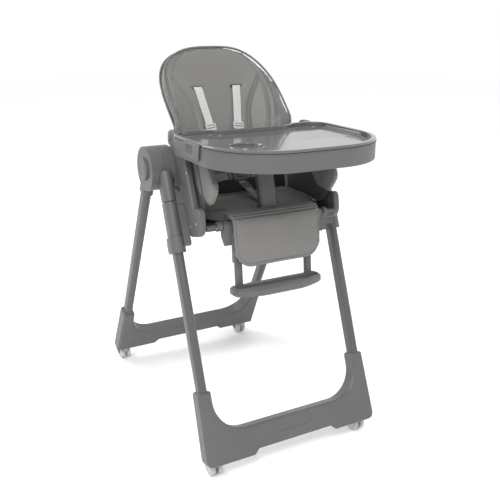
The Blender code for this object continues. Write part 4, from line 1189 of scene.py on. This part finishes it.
@dataclass
class Harness:
    """Five-point harness: straps, adjusters and buckle."""

    back: BackRest
    buckle_at: Vector = field(default_factory=lambda: Vector((0.0, -0.030, 0.742)))
    buckle_tilt: float = math.radians(-35.0)
    width: float = 0.024
    thickness: float = 0.0015

    def shoulder(self, word: str, side: int) -> None:
        """Hang a shoulder strap from its slot through its adjuster to the buckle."""
        back = self.back
        places = [(0.0630, 0.0075, -0.0020), (0.0628, 0.0050, 0.0022), (0.0600, -0.006, 0.0042),
                  (0.0555, -0.040, 0.0050), (0.0500, -0.075, 0.0060), (0.0450, -0.113, 0.0080),
                  (0.0420, -0.145, 0.0110), (0.0400, -0.180, 0.0130)]
        points = [back.world(side * x, up, out + back.wing(x + 0.012, up))
                  for x, up, out in places]
        points.append(Vector((side * 0.034, 0.012, 0.768)))
        points.append(Vector((side * 0.027, -0.014, 0.756)))
        path = smooth_path(points, 6)
        across = []
        for index, place in enumerate(path):
            run = (path[min(index + 1, len(path) - 1)] - path[max(index - 1, 0)]).normalized()
            flat = Vector((1.0, 0.0, 0.0)) - run * run.x
            across.append(flat.normalized())
        bm = ribbon(path, across, self.width, self.thickness)
        strap = piece(f"shoulder_webbing_{word}", bm, PALE_WEB, "", 40.0)
        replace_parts(strap, f"shoulder_strap_{word}")
        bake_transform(strap)
        self.adjuster(word, points[5], (points[4] - points[6]).normalized())

    def adjuster(self, word: str, at: Vector, run: Vector) -> None:
        """Put a ladder-lock buckle on a shoulder strap."""
        out = Vector((1.0, 0.0, 0.0)).cross(run).normalized()
        if out.y > 0.0:
            out = -out
        sideways = run.cross(out).normalized()
        turn = Matrix((sideways, run, out)).transposed().to_4x4()
        bm = bmesh.new()
        for shift, half_y, lift in ((0.0075, 0.0022, 0.0020), (-0.0005, 0.0020, 0.0030),
                                    (-0.0085, 0.0030, 0.0034)):
            bar = plate(box_corners(0.0155, half_y, 0.0018), 0.0030, 0.0008)
            bar.transform(Matrix.Translation((0.0, shift, lift)))
            add_mesh(bm, bar)
        for hand in (1, -1):
            cheek = plate(box_corners(0.0019, 0.0105, 0.0016), 0.0034, 0.0008)
            cheek.transform(Matrix.Translation((hand * 0.0146, -0.0005, 0.0026)))
            add_mesh(bm, cheek)
        bm.transform(Matrix.Translation(at + out * 0.0008) @ turn)
        obj = piece(f"strap_adjuster_{word}_moulding", bm, CASTER, "back")
        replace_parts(obj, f"strap_adjuster_{word}")

    def waist(self, word: str, side: int) -> None:
        """Run a waist strap from the buckle out to the seat side."""
        turn = Matrix.Rotation(self.buckle_tilt, 3, 'X')
        points = [self.buckle_at + turn @ Vector((side * x, y, z))
                  for x, y, z in ((0.0235, 0.001, 0.0), (0.040, 0.0005, 0.0005),
                                  (0.062, 0.003, -0.001), (0.085, 0.008, -0.004),
                                  (0.104, 0.014, -0.008))]
        path = smooth_path(points, 6)
        lift = turn @ Vector((0.0, 0.0, 1.0))
        bm = ribbon(path, [lift] * len(path), self.width - 0.001, self.thickness)
        strap = piece(f"waist_webbing_{word}", bm, WEB, "seat", 40.0)
        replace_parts(strap, f"waist_strap_{word}")
        bar = plate(box_corners(0.0022, 0.0140, 0.0018), 0.0042, 0.0009)
        bar.transform(Matrix.Translation(self.buckle_at)
                      @ Matrix.Rotation(self.buckle_tilt, 4, 'X')
                      @ Matrix.Translation((side * 0.034, 0.0005, 0.0005))
                      @ Matrix.Rotation(math.pi / 2, 4, 'X'))
        piece(f"waist_slider_{word}", bar, PLASTIC, "seat")

    def crotch(self) -> None:
        """Run the crotch strap from the buckle over the seat to the post."""
        points = [(0.0, -0.0365, 0.7290), (0.001, -0.050, 0.7230), (0.002, -0.070, 0.7170),
                  (0.001, -0.095, 0.7110), (0.0, -0.125, 0.7050), (0.0, -0.150, 0.6990),
                  (0.0, -0.176, 0.6950)]
        path = smooth_path([Vector(point) for point in points], 6)
        bm = ribbon(path, [Vector((1.0, 0.0, 0.0))] * len(path), self.width - 0.002,
                    self.thickness)
        strap = piece("crotch_webbing", bm, WEB, "seat", 40.0)
        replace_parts(strap, "crotch_strap")
        bm = bmesh.new()
        for y, z in ((-0.060, 0.7225), (-0.070, 0.7193), (-0.080, 0.7168)):
            bar = plate(box_corners(0.0150, 0.0022, 0.0018), 0.0034, 0.0009)
            bar.transform(Matrix.Translation((0.0015, y, z)) @ Matrix.Rotation(0.28, 4, 'X'))
            add_mesh(bm, bar)
        piece("crotch_adjuster", bm, PLASTIC, "seat")

    def build(self) -> None:
        """Make every strap, then the buckle."""
        for word, side in SIDES:
            self.shoulder(word, side)
            self.waist(word, side)
        self.crotch()
        moulded("buckle", 0.0012, 3)
        moulded("buckle_button", 0.0006)
        LOG.info("harness built")


@dataclass
class Tray:
    """Tray base, glossy lid with its rims and cup ring, grips and release handle."""

    half_width: float = 0.235
    front: float = -0.463
    rear: float = -0.081
    belly: float = 0.028
    rim_top: float = 0.8885

    def plan(self, inset: float) -> list[tuple[float, float, float]]:
        """Return the tray's corners in plan, drawn in, with rounding lengths."""
        wide, front, rear = self.half_width - inset, self.front + inset, self.rear - inset
        half = [(0.105 - inset * 0.3, rear - self.belly, 0.018), (0.135 - inset * 0.3, rear, 0.018),
                (wide, rear, 0.054 - inset * 0.6), (wide, front, 0.175 - inset * 0.6)]
        return half + [(-x, y, r) for x, y, r in reversed(half)]

    def build_lid(self) -> None:
        """Refine the lid: soft edges, a stepped inner ledge and a ring round the cup."""
        moulded("tray_lid", 0.0018, 3, GLOSS,
                lambda edge: min(vert.co.z for vert in edge.verts) > self.rim_top - 0.001)
        step = smooth_path(self.loop(0.020), 1, True)
        piece("lid_ledge", tube([(p.x, p.y, 0.8758) for p in step], 0.0016, True), GLOSS,
              "tray_lid", 180.0)
        ring = swept([(0.0402, 0.8745), (0.0440, 0.8745), (0.0436, 0.8768), (0.0424, 0.8775),
                      (0.0410, 0.8768), (0.0402, 0.8745)], 48)
        bmesh.ops.translate(ring, vec=(-0.118, -0.300, 0.0), verts=ring.verts)
        piece("cup_ring", ring, GLOSS, "tray_lid", 60.0)

    def loop(self, inset: float) -> list[tuple[float, float, float]]:
        """Return the rounded plan as points, drawn in by an inset."""
        bm = bmesh.new()
        polygon(bm, self.plan(inset), 14)
        face = max(bm.faces, key=lambda item: item.calc_area())
        points = [tuple(vert.co) for vert in face.verts]
        bm.free()
        return points

    def build(self) -> None:
        """Make the lid, base, lip, grips and handle."""
        self.build_lid()
        moulded("tray_base", 0.0014, 2)
        moulded("tray_handle", 0.0014, 2)
        lip = self.loop(-0.0004)
        piece("tray_lip", tube([(x, y, 0.8795) for x, y, _ in lip], 0.0011, True), PLASTIC,
              "tray", 180.0)
        for word, side in SIDES:
            self.build_grip(word, side)
        LOG.info("tray built")

    def build_grip(self, word: str, side: int) -> None:
        """Refine a side grip with finger ribs."""
        moulded(f"lid_latch_{word}", 0.0012, 2)
        low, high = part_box(f"lid_latch_{word}")
        face = outer_face(f"lid_latch_{word}", side)
        body = f"lid_latch_{word}"
        bm = bmesh.new()
        for index in range(7):
            y = high.y - 0.016 - index * 0.0062
            rib = tube([(face - side * 0.0002, y, low.z + 0.012),
                        (face + side * 0.0002, y, high.z - 0.008)], 0.0010)
            add_mesh(bm, rib)
        piece(f"grip_ribs_{word}", bm, PLASTIC, body, 60.0)


@dataclass
class SeatFrame:
    """Hard parts that carry the seat, with their screws and caps."""

    def screw(self, name: str, at: Point, axis: Point, body: str, radius: float = 0.0034
              ) -> None:
        """Put a domed screw head with a cross recess at a point."""
        bm = swept([(0.0, 0.0012), (radius * 0.6, 0.0010), (radius, 0.0001), (radius, -0.0008),
                    (0.0, -0.0008)], 20)
        piece(name, placed(bm, at, axis), STEEL, body)
        cross = bmesh.new()
        for turn in (0.0, math.pi / 2):
            bar = plate(box_corners(radius * 0.55, radius * 0.13, 0.0001), 0.0006, 0.0001, 1)
            bar.transform(Matrix.Translation((0.0, 0.0, 0.0011)) @ Matrix.Rotation(turn, 4, 'Z'))
            add_mesh(cross, bar)
        piece(name + "_cross", placed(cross, at, axis), DARK_PLASTIC, body)

    def build(self) -> None:
        """Make the seat pan, sides, carriages, post and axles."""
        moulded("seat_pan", 0.0016, 2, PAN_PLASTIC)
        moulded("crotch_post", 0.0016, 2)
        moulded("recline_axle", 0.0008, 2, ROD_PLASTIC)
        moulded("leg_rest_axle", 0.0008, 2, ROD_PLASTIC)
        for word, side in SIDES:
            moulded(f"seat_side_{word}", 0.0020, 3)
            moulded(f"carriage_{word}", 0.0016)
            moulded(f"height_latch_{word}", 0.0014)
            face = outer_face(f"seat_side_{word}", side)
            for index, (y, z) in enumerate(((-0.166, 0.650), (-0.205, 0.668), (-0.150, 0.790))):
                self.screw(f"side_screw_{word}_{index + 1}", (face + side * 0.0002, y, z),
                           (side, 0.0, 0.0), "seat")
            knob = swept([(0.0, 0.0030), (0.0080, 0.0026), (0.0098, 0.0008), (0.0098, -0.0010),
                          (0.0, -0.0010)], 28)
            piece(f"armrest_cap_{word}", placed(knob, (face, -0.045, 0.868), (side, 0.0, 0.0)),
                  PLASTIC, "seat")
        LOG.info("seat frame built")


@dataclass
class LegFrames:
    """Both leg pairs with bases, hubs and casters."""

    pivot: Vector = field(default_factory=lambda: Vector((0.0, -0.023, 0.785)))

    def build_hub(self, word: str, side: int) -> None:
        """Make a hub's two halves, pin and button, with a ring on the button."""
        moulded(f"hub_knuckle_{word}", 0.0030, 3)
        moulded(f"hub_shell_{word}", 0.0040, 3)
        moulded(f"hub_pin_{word}", 0.0008)
        moulded(f"fold_button_{word}", 0.0020, 3)
        face = outer_face(f"fold_button_{word}", side)
        ring = swept([(0.0200, 0.0), (0.0208, 0.0006), (0.0222, 0.0006), (0.0230, 0.0),
                      (0.0230, -0.0006), (0.0200, -0.0006), (0.0200, 0.0)], 48)
        piece(f"button_ring_{word}", placed(ring, (face, self.pivot.y, self.pivot.z),
                                            (side, 0.0, 0.0)), PLASTIC,
              f"fold_button_{word}")

    def build(self) -> None:
        """Make the bases, legs, hubs and casters."""
        for end in ENDS:
            moulded(f"{end}_base", 0.0032, 3)
            for word, side in SIDES:
                moulded(f"{end}_leg_{word}", 0.0005, 1)
                moulded(f"caster_fork_{end}_{word}", 0.0008)
                moulded(f"caster_wheel_{end}_{word}", 0.0009)
        for word, side in SIDES:
            moulded(f"brake_pedal_{word}", 0.0008)
            self.build_hub(word, side)
        LOG.info("leg frames built")


# ---------------------------------------------------------------- studio

@dataclass
class Studio:
    """Pale floor and backdrop, soft lights and the camera."""

    azimuth: float = math.radians(-27.96)
    elevation: float = math.radians(18.55)
    distance: float = 2.1627
    target: Vector = field(default_factory=lambda: Vector((0.0814, 0.057, 0.4742)))
    lens: float = 49.15

    def build(self) -> None:
        """Make the floor, lights, world and camera."""
        self.floor()
        for name, at, size, power in (("key_light", (-1.4, -2.2, 2.9), 1.2, 70.0),
                                      ("fill_light", (2.4, -1.6, 1.9), 2.4, 14.0),
                                      ("rim_light", (-1.6, 2.2, 2.6), 1.6, 44.0)):
            self.light(name, Vector(at), size, power)
        world = bpy.data.worlds.new("studio")
        bpy.context.scene.world = world
        world.use_nodes = True
        backdrop = world.node_tree.nodes["Background"]
        backdrop.inputs["Color"].default_value = (1.0, 1.0, 1.0, 1.0)
        backdrop.inputs["Strength"].default_value = 1.0
        bpy.context.scene.view_settings.view_transform = 'Standard'
        self.camera()
        LOG.info("studio built")

    def floor(self) -> None:
        """Lay a wide pale floor just under the wheels."""
        bm = bmesh.new()
        bmesh.ops.create_circle(bm, cap_ends=True, segments=96, radius=14.0)
        bmesh.ops.translate(bm, vec=(0.0, 0.0, -0.0002), verts=bm.verts)
        bmesh.ops.recalc_face_normals(bm, faces=bm.faces)
        mesh = bpy.data.meshes.new("studio_floor")
        bm.to_mesh(mesh)
        bm.free()
        graph = Graph("pale_floor")
        graph.set(Base_Color=graph.tones(graph.object_noise(3.0), (0.985, 0.985, 0.985),
                                         (0.992, 0.992, 0.992)), Roughness=0.75)
        mesh.materials.append(graph.material)
        ground = bpy.data.objects.new("studio_floor", mesh)
        bpy.context.scene.collection.objects.link(ground)

    def light(self, name: str, at: Vector, size: float, power: float) -> None:
        """Add a square area light that faces the chair."""
        lamp = bpy.data.lights.new(name, 'AREA')
        lamp.energy = power
        lamp.size = size
        holder = bpy.data.objects.new(name, lamp)
        holder.location = at
        holder.rotation_euler = (Vector((0.0, 0.0, 0.55)) - at).to_track_quat('-Z', 'Y').to_euler()
        bpy.context.scene.collection.objects.link(holder)

    def camera(self) -> None:
        """Add the camera and make it the scene's."""
        lens = bpy.data.cameras.new("camera")
        lens.lens = self.lens
        lens.sensor_width = 36.0
        holder = bpy.data.objects.new("camera", lens)
        away = Vector((math.sin(self.azimuth) * math.cos(self.elevation),
                       -math.cos(self.azimuth) * math.cos(self.elevation),
                       math.sin(self.elevation)))
        holder.location = self.target + away * self.distance
        holder.rotation_euler = (-away).to_track_quat('-Z', 'Y').to_euler()
        bpy.context.scene.collection.objects.link(holder)
        bpy.context.scene.camera = holder


def main() -> None:
    """Build every part of the chair in order, then the studio."""
    logging.basicConfig(level=logging.INFO, format="%(message)s")
    back = BackRest()
    for part in (LegFrames(), SeatFrame(), SeatPad(), back, LegRest(), Harness(back), Tray(),
                 Studio()):
        part.build()


if __name__ == "__main__":
    main()
